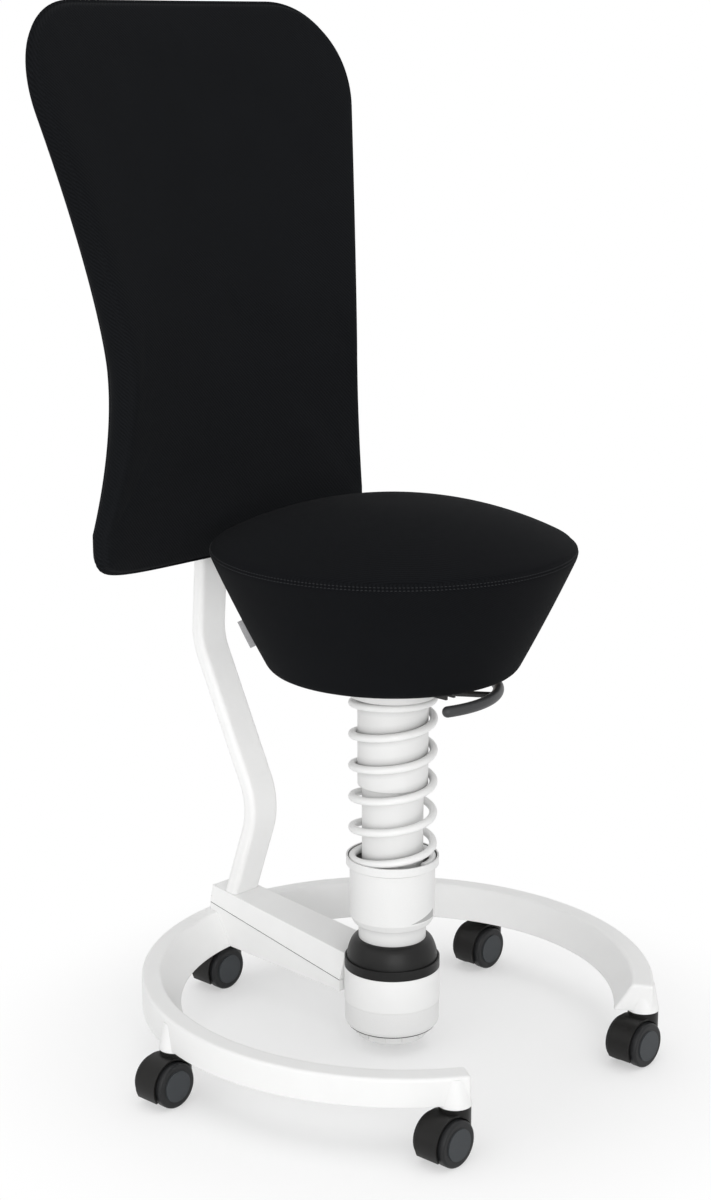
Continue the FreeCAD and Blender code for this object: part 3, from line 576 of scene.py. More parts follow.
WHITE_PAINT = SprayedPaint("satin_white_frame", (0.88, 0.88, 0.875), 0.42)
# The column's paint and the spring's wire carry painted shade in their crevices.
COLUMN_WHITE = SprayedPaint("satin_white_column", (0.78, 0.78, 0.775), 0.38, peel=0.9 * MM, crevice_shade=0.55)
SPRING_WHITE = SprayedPaint("white_dipped_wire", (0.86, 0.86, 0.855), 0.33, peel=2.2 * MM, edge_r=0.4 * MM,
                            crevice_shade=0.3)
WHITE_PLASTIC = Moulded("white_moulding", (0.83, 0.83, 0.825), 0.4, rub=0.95)
MARKED_CUP = MarkedPlastic("white_moulding_marked", (0.83, 0.83, 0.825), 0.4, rub=0.95)
BUSH_PLASTIC = Moulded("natural_bush_plastic", (0.7, 0.69, 0.66), 0.5, rub=0.95)
BLACK_RUBBER = SoftRubber("black_rubber", (0.0042, 0.0041, 0.004), 0.44)
HOOD_BLACK = Moulded("castor_hood_black", (0.009, 0.0086, 0.0081), 0.4, specular=0.22)
WHEEL_GREY = WheelPlastic("castor_wheel_grey", (0.014, 0.0145, 0.0155), 0.45, specular=0.25)
SHELL_BLACK = Moulded("back_shell_black", (0.014, 0.014, 0.0145), 0.55, grain=0.9 * MM, grain_depth=0.08 * MM)
GRIP_GREY = Moulded("lever_grip_grey", (0.045, 0.046, 0.048), 0.42)
BLACK_WIRE = SprayedPaint("black_lever_rod", (0.02, 0.02, 0.02), 0.4)
STEEL = TurnedSteel("plain_steel", (0.56, 0.56, 0.55), 0.34)
BOARD = Plywood("beech_plywood", (0.52, 0.38, 0.24), 0.55)
SEAT_CLOTH = Cloth("seat_black_twill", (0.0033, 0.0036, 0.0042), 0.85)
BACK_CLOTH = Cloth("back_black_twill", (0.0046, 0.0050, 0.0057), 0.85)
GREY_TAPE = Cloth("bare_grey_tape", (0.46, 0.46, 0.47), 0.8, weave=Weave.PLAIN, pitch=0.45 * MM, pale=1.25,
                  depth=0.08 * MM)
BLACK_THREAD = Thread("charcoal_thread", (0.03, 0.031, 0.033), 0.7)


@dataclass(frozen=True)
class Net:
    """Faces of a grid of points whose columns close on themselves."""

    rows: int
    columns: int
    ring: bool

    def corners(self) -> np.ndarray:
        """Point numbers at the four corners of each cell."""
        index = looped(np.arange(self.rows * self.columns).reshape(self.rows, self.columns), 1)
        return at_corners(looped(index) if self.ring else index)

    def pick(self, cells: np.ndarray) -> List[np.ndarray]:
        """Take each face's corners from an array over the cells.

        Args:
            cells: an array whose first three axes are row, column and corner.

        Returns:
            Arrays over the faces: three corners next to a pole and four elsewhere.
        """
        if self.ring:
            return [cells.reshape(-1, *cells.shape[2:])]
        middle = cells[1:-1]
        return [cells[0][:, [0, 1, 2]], middle.reshape(-1, *cells.shape[2:]), cells[-1][:, [0, 1, 3]]]

    def kept(self) -> Tuple[np.ndarray, np.ndarray]:
        """Which points are kept, and each point's new number: a pole's row is one point."""
        keep = np.ones((self.rows, self.columns), dtype=bool)
        if not self.ring:
            keep[[0, -1], 1:] = False
        number = np.cumsum(keep.ravel()).reshape(keep.shape) - 1
        if not self.ring:
            number[0], number[-1] = number[0, 0], number[-1, 0]
        return keep.ravel(), number.ravel()


def circle(count: int) -> np.ndarray:
    """Angles evenly round a circle, without the last."""
    return np.linspace(0.0, 2 * math.pi, count, endpoint=False)


def unit(vectors: np.ndarray) -> np.ndarray:
    """Vectors made one long."""
    return vectors / np.linalg.norm(vectors, axis=-1, keepdims=True)


def joined(*parts: Union[np.ndarray, float]) -> np.ndarray:
    """Values side by side on a last axis, each first spread to the shape of them all."""
    return np.stack(np.broadcast_arrays(*parts), axis=-1)


def looped(grid: np.ndarray, axis: int = 0) -> np.ndarray:
    """A grid with its first row, or first column, again at its end."""
    return np.concatenate([grid, grid.take([0], axis)], axis)


def way_along(points: np.ndarray) -> np.ndarray:
    """How far each point of a row is from the first, along the row."""
    return np.concatenate([[0.0], np.cumsum(np.linalg.norm(np.diff(points, axis=0), axis=1))])


def read_off(at: np.ndarray, steps: np.ndarray, values: np.ndarray) -> np.ndarray:
    """Vectors between the steps of a row, each of whose columns is read off on its own."""
    return joined(*(np.interp(at, steps, column) for column in values.T))


def capped(middle: np.ndarray, end: float) -> np.ndarray:
    """A row of values with one more at its start and its end, where a grid closes to a point."""
    return np.concatenate([[middle[0] * end], middle, [middle[-1] * end]])


def per_point(values: np.ndarray, columns: int) -> np.ndarray:
    """Each row's value at all of its points, where the first and last rows are one point each."""
    return np.concatenate([values[:1], np.repeat(values[1:-1], columns), values[-1:]])


def at_corners(grid: np.ndarray) -> np.ndarray:
    """A grid's values at the four corners of each of its cells."""
    return np.stack([grid[:-1, :-1], grid[1:, :-1], grid[1:, 1:], grid[:-1, 1:]], axis=2)


def linked(name: str, data: bpy.types.ID) -> bpy.types.Object:
    """Put a mesh, a camera or a lamp into the scene.

    Args:
        name: the object's name.
        data: what it shows.

    Returns:
        The object.
    """
    made = bpy.data.objects.new(name, data)
    bpy.context.scene.collection.objects.link(made)
    return made


def skin(name: str, points: np.ndarray, finish: Finish, ring: bool = False,
         laid: Optional[np.ndarray] = None) -> bpy.types.Object:
    """Make a mesh object from one grid of points, or from many alike.

    Four neighbours of a grid make a face. The last column joins the first.

    Args:
        name: the piece's name.
        points: rows, columns and xyz, with an axis before them for many grids.
        finish: the finish that the piece has.
        ring: whether the last row joins the first. If not, each of the two is a single point.
        laid: place on the cloth at each cell's corners, for one grid.

    Returns:
        The object.
    """
    many = points.reshape(-1, *points.shape[-3:])
    net = Net(many.shape[1], many.shape[2], ring)
    keep, number = net.kept()
    places = many.reshape(len(many), -1, 3)[:, keep]
    steps = (np.arange(len(many)) * places.shape[1])[:, None, None]
    faces: List[List[int]] = []
    for part in net.pick(number[net.corners()]):
        faces += (part[None] + steps).reshape(-1, part.shape[-1]).tolist()
    mesh = bpy.data.meshes.new(name)
    mesh.from_pydata(places.reshape(-1, 3).tolist(), [], faces)
    mesh.polygons.foreach_set("use_smooth", np.ones(len(faces), dtype=bool))
    if laid is not None:
        flat = np.concatenate([part.reshape(-1, 2) for part in net.pick(laid)])
        mesh.uv_layers.new(name="cloth").data.foreach_set("uv", flat.ravel())
    mesh.materials.append(finish.material())
    mesh.validate()
    return linked(name, mesh)


def points_of(obj: bpy.types.Object) -> np.ndarray:
    """The places of a mesh's points."""
    flat = np.empty(len(obj.data.vertices) * 3)
    obj.data.vertices.foreach_get("co", flat)
    return flat.reshape(-1, 3)


def put_points(obj: bpy.types.Object, places: np.ndarray) -> None:
    """Set the places of a mesh's points."""
    obj.data.vertices.foreach_set("co", places.ravel())
    obj.data.update()


def swell(obj: bpy.types.Object, pinned: np.ndarray, pressure: float, cap: float, frames: int = 20) -> None:
    """Let a closed cover fill out under pressure, and keep the result.

    Args:
        obj: the cover.
        pinned: true for each point that stays.
        pressure: the pressure inside.
        cap: the furthest that a point may move.
        frames: how long the cloth settles.
    """
    before = points_of(obj)
    group = obj.vertex_groups.new(name="sewn")
    group.add(np.flatnonzero(pinned).tolist(), 1.0, "REPLACE")
    cover = obj.modifiers.new("cover", "CLOTH")
    settings = cover.settings
    settings.use_pressure = True
    settings.uniform_pressure_force = pressure
    settings.vertex_group_mass = group.name
    settings.effector_weights.gravity = 0.0
    settings.quality = 5
    cover.point_cache.frame_start = 1
    cover.point_cache.frame_end = frames
    scene = bpy.context.scene
    for step in range(1, frames + 1):
        scene.frame_set(step)
    settled = obj.evaluated_get(bpy.context.evaluated_depsgraph_get())
    after = points_of(settled)
    obj.modifiers.remove(cover)
    obj.vertex_groups.clear()
    scene.frame_set(1)
    moved = after - before
    length = np.linalg.norm(moved, axis=1, keepdims=True)
    put_points(obj, before + moved * (cap * np.tanh(length / cap) / np.maximum(length, 1e-9)))
    log.info("%s swelled by up to %.1f mm", obj.name, cap * np.tanh(length.max() / cap) / MM)


def painted(names: Iterable[str], finish: Finish) -> None:
    """Give nodes of the frame a finish."""
    for name in names:
        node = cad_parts[name]
        if not node.material_slots:
            node.data.materials.append(finish.material())
        for holder in node.material_slots:
            holder.material = finish.material()


def curve_between(start: Tuple[float, float], end: Tuple[float, float], bow: float, count: int) -> np.ndarray:
    """A bowed line in the profile's plane.

    The straight line from start to end, plus a parabola of height bow to its left.

    Args:
        start: first radius and height.
        end: last radius and height.
        bow: how far the middle stands out.
        count: how many points, without the last.

    Returns:
        The points.
    """
    t = np.linspace(0.0, 1.0, count, endpoint=False)[:, None]
    a, b = np.array(start), np.array(end)
    run = b - a
    left = np.array([-run[1], run[0]]) / np.linalg.norm(run)
    return a + run * t + left * (4 * bow * t * (1 - t))


def stitches(name: str, centres: np.ndarray, along: np.ndarray, out: np.ndarray, length: float,
             radius: float, finish: Finish) -> bpy.types.Object:
    """A row of short stitches, each a small spindle.

    A point of a spindle is the centre, plus its share of half the length along the row, plus the radius
    times the root of one less that share squared, round the row, with the ends dipped into the cloth.

    Args:
        name: the piece's name.
        centres: the middles of the stitches.
        along: the row's direction at each.
        out: the cloth's normal at each.
        length: a stitch's length.
        radius: a stitch's radius.
        finish: the thread.

    Returns:
        The object.
    """
    share = np.linspace(-1.0, 1.0, STITCH_SIDES)
    turn = circle(STITCH_SIDES)
    width = radius * np.sqrt(np.clip(1.0 - share ** 2, 0.0, 1.0))
    side = np.cross(along, out)
    dip = radius * (STITCH_DIP[0] - STITCH_DIP[1] * share ** 2)
    axis = along[:, None, None] * (share * length / 2)[None, :, None, None]
    rise = out[:, None, None] * (dip[:, None] + width[:, None] * np.cos(turn))[None, :, :, None]
    across = side[:, None, None] * (width[:, None] * np.sin(turn))[None, :, :, None]
    return skin(name, centres[:, None, None] + axis + rise - across, finish)


@dataclass
class Base:
    """The ring, the hub and what closes it, the upright, and the castors."""

    castors: int = 5
    # Dark strips and a ring of painted shade stand in for the shadows in the gaps at the shoe and under the
    # hub's cup.
    gap_shade_hub: Triple = (37.0 * MM, 46.5 * MM, 73.65 * MM)
    gap_shade_ring: Triple = (25.0 * MM, 266.8 * MM, 106.6 * MM)
    gap_shade_half: Tuple[float, float] = (1.1 * MM, 0.5 * MM)
    gap_shade_inset: float = 0.85 * MM
    gap_shade_steps: int = 24
    gap_shade_round: int = 12
    cup_shade_r: float = 48.7 * MM
    cup_shade_rise: float = 1.0 * MM
    cup_shade_half: Tuple[float, float] = (0.8 * MM, 0.7 * MM)
    cup_shade_steps: int = 120
    cup_shade_round: int = 10

    def dress(self) -> None:
        """Give the base's nodes their finishes."""
        painted(["base_frame", "back_upright"], WHITE_PAINT)
        painted(["hub_cup", "tilt_knob"], WHITE_PLASTIC)
        painted(["rubber_collar", "dome_cap", "tilt_elastomer"], BLACK_RUBBER)
        painted(["lower_yoke", "tilt_cross", "shoe_bolts"], STEEL)
        for number in range(1, self.castors + 1):
            painted([f"castor_{number}_hood"], HOOD_BLACK)
            low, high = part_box(f"castor_{number}_axle")
            grey = replace(WHEEL_GREY, name=f"{WHEEL_GREY.name}_{number}",
                           axle=((low[0] + high[0]) / 2, (low[2] + high[2]) / 2))
            painted([f"castor_{number}_wheel_left", f"castor_{number}_wheel_right"], grey)
            painted([f"castor_{number}_stem", f"castor_{number}_axle"], STEEL)
        log.info("base: %d castors dressed", self.castors)

    def gap_shade_strips(self) -> List[bpy.types.Object]:
        """Painted shade: a dark strip along each side of the joint under the upright's shoe, standing in for
        the shadow in that gap.

        A flat oval is carried along the straight line from the hub to the ring, and shrinks to a point at
        both ends.

        Returns:
            The pieces.
        """
        share = capped(np.linspace(0.0, 1.0, self.gap_shade_steps), 1.0)[:, None]
        size = capped(np.ones(self.gap_shade_steps), 0.0)[:, None]
        line = np.array(self.gap_shade_hub) * (1 - share) + np.array(self.gap_shade_ring) * share
        turn = circle(self.gap_shade_round)[None]
        half_w, half_h = self.gap_shade_half
        x = line[:, :1] - self.gap_shade_inset + size * half_w * np.cos(turn)
        left = joined(x, line[:, 1:2], line[:, 2:] + size * half_h * np.sin(turn))
        right = left[:, ::-1] * (-1.0, 1.0, 1.0)
        # Painted shade: dark rubber strips stand where there is only the shadow in the joint's gap.
        made = [skin("shoe_gap_shade_left", left, BLACK_RUBBER), skin("shoe_gap_shade_right", right, BLACK_RUBBER)]
        for strip in made:
            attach(strip, "base")
        return made

    def cup_shade_ring(self) -> bpy.types.Object:
        """Painted shade along the round lower edge of the hub's cup, for the gap above the knob: a dark oval
        carried round the axis.

        Returns:
            The piece.
        """
        turn, angle = circle(self.cup_shade_round)[:, None], circle(self.cup_shade_steps)[None]
        radius = self.cup_shade_r + self.cup_shade_half[0] * np.cos(turn)
        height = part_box("hub_cup")[0][2] + self.cup_shade_rise - self.cup_shade_half[1] * np.sin(turn)
        points = joined(radius * np.cos(angle), radius * np.sin(angle), height)
        # Painted shade: a dark rubber ring stands where there is only the shadow between the cup and the
        # knob.
        made = skin("knob_gap_shade", points, BLACK_RUBBER, ring=True)
        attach(made, "base")
        return made


@dataclass
class Column:
    """The tubes, the cup and the coil spring."""

    coil_r: float = 44.8 * MM
    wire_r: float = 4.4 * MM
    low: float = 221.5 * MM
    high: float = 406.0 * MM
    turns: float = 6.4
    dead: float = 0.5
    ease: float = 0.25
    start: float = 1.5 * math.pi
    per_turn: int = 56
    round_count: int = 18
    end_share: float = 0.82
    chamfer_share: float = 0.2
    anchor: float = 217.1 * MM
    travel: float = 45.0 * MM

    def dress(self) -> None:
        """Give the column's nodes their finishes."""
        painted(["column_neck", "lower_tube", "upper_sleeve", "spring_flange"], COLUMN_WHITE)
        painted(["spring_cup"], MARKED_CUP)
        painted(["tube_bush", "gas_guide_bush"], BUSH_PLASTIC)
        painted(["gas_stand_tube", "gas_rod", "gas_cylinder"], STEEL)

    def climbed(self, turns: np.ndarray) -> np.ndarray:
        """Turns counted with a slope that eases from nothing to one."""
        soft = np.clip(turns, 0.0, self.ease)
        return soft ** 2 / (2 * self.ease) + np.maximum(turns - self.ease, 0.0)

    def spring(self) -> bpy.types.Object:
        """The coil: a round wire carried along a helix with flat ends.

        The helix has a fixed radius, and its height rises evenly between the eased flat ends. Each ring of
        the wire stands across the helix. The end rings shrink to a point over a small chamfer.

        Returns:
            The piece.
        """
        count = int(self.turns * self.per_turn) + 1
        turns = np.linspace(0.0, self.turns, count)
        last = self.turns - self.dead - self.ease
        steady = self.turns - 2 * self.dead - self.ease
        share = (self.climbed(turns - self.dead) - self.climbed(turns - last)) / steady
        angle = self.start + 2 * math.pi * turns
        outward = joined(np.cos(angle), np.sin(angle), 0.0)
        height = self.low + (self.high - self.low) * share
        line = outward * self.coil_r + height[:, None] * np.array(UP)
        heading = unit(np.gradient(line, axis=0))
        upright = np.cross(heading, outward)
        ends = [0, 0, *range(count), count - 1, count - 1]
        width = capped(capped(np.full(count, self.wire_r), self.end_share), 0.0)
        line, outward, upright = line[ends], outward[ends], upright[ends]
        chamfer = self.wire_r * self.chamfer_share
        line[2] += heading[0] * chamfer
        line[-3] -= heading[-1] * chamfer
        turn = circle(self.round_count)[None, :, None]
        ring = outward[:, None] * np.cos(turn) - upright[:, None] * np.sin(turn)
        coil = skin("spring_coil", line[:, None] + ring * width[:, None, None], SPRING_WHITE)
        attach(coil, "column")
        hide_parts("coil_spring")
        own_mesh(coil)
        log.info("column: spring of %.1f turns", self.turns)
        return coil


@dataclass
class Seat:
    """The round cushion, its seam and stitching, and the tab sewn into its side."""

    bottom_z: float = 440.5 * MM
    bottom_r: float = 122.0 * MM
    heel_r: float = 139.0 * MM
    heel_h: float = 9.0 * MM
    rim_r: float = 196.5 * MM
    rim_h: float = 127.0 * MM
    edge_r: float = 191.5 * MM
    edge_h: float = 140.0 * MM
    crown_h: float = 185.5 * MM
    board_clear: float = 0.3 * MM
    bows: Tuple[float, ...] = (3.0 * MM, 1.0 * MM, 3.0 * MM, 0.0, 0.0, 0.0)
    bow_rows: Tuple[int, ...] = (9, 28, 7, 2, 3, 8)
    crown_rows: int = 34
    columns: int = 240
    cone_share: float = 0.55
    seam_share: float = 0.32
    seam_rows: int = 1
    seam_reach: float = 40.0 * MM
    held_rows: int = 3
    groove_depth: float = 1.3 * MM
    groove_w: float = 2.2 * MM
    puckers: int = 96
    pucker_h: float = 0.12 * MM
    pucker_fade: float = 9.0 * MM
    pucker_rise: float = 0.35
    pressure: float = 3.0
    swell_cap: float = 3.0 * MM
    stitch_pitch: float = 4.2 * MM
    stitch_l: float = 3.1 * MM
    stitch_r: float = 0.36 * MM
    stitch_rows: Tuple[int, int] = (2, 4)
    label_angle: float = math.radians(131.8)
    label_low: float = 17.0 * MM
    label_l: float = 32.0 * MM
    label_w: float = 9.5 * MM
    label_t: float = 0.4 * MM
    label_root: float = 3.0 * MM
    label_flat: float = 1.04
    label_square: float = 0.35
    label_sway: float = 0.9 * MM
    label_waves: float = 1.4
    label_phase: float = 0.4
    label_steps: int = 26
    label_round: int = 28

    def dress(self) -> None:
        """Give the seat's other nodes their finishes."""
        painted(["seat_plate", "seat_screws", "lever_pin"], STEEL)
        painted(["seat_pan"], BOARD)
        painted(["release_lever", "lever_bracket"], BLACK_WIRE)
        painted(["lever_grip"], GRIP_GREY)

    def profile(self) -> Tuple[np.ndarray, int, int]:
        """Half of the cushion's section, from the top's middle to the recess over the board.

        The crown is part of a circle, and the rim, side and heel are bowed lines.

        Returns:
            Radius and height of each point, the seam's row and the bottom's first row.
        """
        rise = self.crown_h - self.edge_h
        crown_r = (self.edge_r ** 2 + rise ** 2) / (2 * rise)
        radius = self.edge_r * np.linspace(0.0, 1.0, self.crown_rows, endpoint=False)
        top = self.bottom_z + self.crown_h
        crown = joined(radius, top - crown_r + np.sqrt(crown_r ** 2 - radius ** 2))
        edge = (self.edge_r, self.bottom_z + self.edge_h)
        rim = (self.rim_r, self.bottom_z + self.rim_h)
        heel = (self.heel_r, self.bottom_z + self.heel_h)
        foot = (self.bottom_r, self.bottom_z)
        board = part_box("seat_pan")[1]
        recess = (board[0] + self.board_clear, self.bottom_z)
        roof = (recess[0], board[2] + self.board_clear)
        corners = [edge, rim, heel, foot, recess, roof, (0.0, roof[1])]
        lines = map(curve_between, corners, corners[1:], self.bows, self.bow_rows)
        parts = [crown, *lines, np.array(corners[-1:])]
        seam = len(crown) + int(self.bow_rows[0] * self.seam_share)
        bottom = sum(len(part) for part in parts[:4])
        return np.concatenate(parts), seam, bottom

    def cushion(self) -> bpy.types.Object:
        """The cushion: its section turned round the axis, swelled, then drawn in along the seam.

        Returns:
            The piece.
        """
        half, seam, bottom = self.profile()
        angle = np.linspace(0.0, 2 * math.pi, self.columns + 1)
        closed = joined(half[:, :1] * np.cos(angle), half[:, :1] * np.sin(angle), half[:, 1:])
        length = way_along(half)
        panel_top = closed[..., :2]
        wide = half[:, :1] * self.cone_share + self.rim_r * (1.0 - self.cone_share)
        panel_side = joined(wide * angle, -length[:, None])
        cell = np.arange(len(half) - 1)
        on_side = (cell >= seam) & (cell < bottom)
        laid = np.where(on_side[:, None, None, None], at_corners(panel_side), at_corners(panel_top))
        made = skin("seat_cushion_cover", closed[:, :-1], SEAT_CLOTH, laid=laid)
        row = per_point(np.arange(len(half)), self.columns)
        held = (np.abs(row - seam) <= self.seam_rows) | (row >= bottom - self.held_rows)
        swell(made, held, self.pressure, self.swell_cap)
        self.sewn(made, row, length, seam)
        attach(made, "seat")
        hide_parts("seat_cushion")
        self.stitching(made, row, seam)
        log.info("seat: cushion %.0f mm across", 2 * self.rim_r / MM)
        return made

    def sewn(self, made: bpy.types.Object, row: np.ndarray, length: np.ndarray, seam: int) -> None:
        """Draw the cover in along the seam, with faint puckers that fade away from it.

        The depth is a bell curve of the distance from the seam, and the puckers are a wave round the axis.

        Args:
            made: the cover.
            row: each point's row.
            length: each row's distance along the section.
            seam: the seam's row.
        """
        places = points_of(made)
        away = length[row] - length[seam]
        bell = np.exp(-(away / self.groove_w) ** 2)
        angle = np.arctan2(places[:, 1], places[:, 0])
        wave = np.sin(angle * self.puckers) * np.exp(-np.abs(away) / self.pucker_fade) * self.pucker_h
        out = joined(np.cos(angle), np.sin(angle), self.pucker_rise)
        near = (np.abs(away) < self.seam_reach)[:, None]
        put_points(made, places + np.where(near, out * (wave - self.groove_depth * bell)[:, None], 0.0))

    def stitching(self, cover: bpy.types.Object, row: np.ndarray, seam: int) -> None:
        """Stitch two rows just below the seam.

        Args:
            cover: the cushion's cover.
            row: each of its points' row.
            seam: the seam's row.
        """
        places = points_of(cover)
        count = int(2 * math.pi * self.rim_r / self.stitch_pitch)
        at = np.arange(count) * (self.columns / count)
        steps = np.arange(self.columns + 1)
        angle = 2 * math.pi * at / self.columns
        along = joined(-np.sin(angle), np.cos(angle), 0.0)
        for name, below in zip(("seat_stitching_upper", "seat_stitching_lower"), self.stitch_rows):
            upper, lower = places[row == seam + below], places[row == seam + below + 1]
            centres = read_off(at, steps, looped((upper + lower) / 2))
            falls = read_off(at, steps, looped(lower - upper))
            out = unit(np.cross(falls, along))
            sewn = stitches(name, centres, along, out, self.stitch_l, self.stitch_r, BLACK_THREAD)
            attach(sewn, "seat")

    def label(self) -> bpy.types.Object:
        """The bare tab: a folded tape that stands out of the side, with a faint curl.

        A long loop, flat on both sides and round at the fold, is carried along the side's slope, and the
        tab's outer edge sways by a sine of the way along it.

        Returns:
            The piece.
        """
        slope = unit(np.array([self.rim_r - self.heel_r, self.rim_h - self.heel_h]))
        outward = np.array([slope[1], -slope[0]])
        base = np.array([self.heel_r, self.bottom_z + self.heel_h]) + slope * self.label_low
        turn = circle(self.label_round)
        share = np.clip(0.5 + 0.5 * np.cos(turn) * self.label_flat, 0.0, 1.0)
        reach = share * (self.label_w + self.label_root) - self.label_root
        thick = self.label_t * np.sign(np.sin(turn)) * np.abs(np.sin(turn)) ** self.label_square
        along = capped(np.linspace(0.0, 1.0, self.label_steps), 1.0) * self.label_l
        scale = capped(np.ones(self.label_steps), 0.0)
        wave = along / self.label_l * math.pi * self.label_waves + self.label_phase
        sway = self.label_sway * np.sin(wave)
        middle = reach.mean()
        out = middle + (reach - middle)[None] * scale[:, None]
        side = thick[None] * scale[:, None] + sway[:, None] * (share ** 2)[None]
        section = base + slope * along[:, None, None] + outward * out[..., None]
        cos, sin = math.cos(self.label_angle), math.sin(self.label_angle)
        from_axis, height = section[..., 0], section[..., 1]
        points = joined(from_axis * cos - side * sin, from_axis * sin + side * cos, height)
        laid = at_corners(looped(joined(reach, along[:, None]), 1))
        tab = skin("seat_tab", points, GREY_TAPE, laid=laid)
        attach(tab, "seat")
        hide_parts("label_tab")
        return tab


def grown(values: Triple, up: np.ndarray, down: np.ndarray) -> np.ndarray:
    """The middle value, moved towards the last and towards the first by their shares."""
    foot, waist, head = values
    return waist + (head - waist) * up + (foot - waist) * down


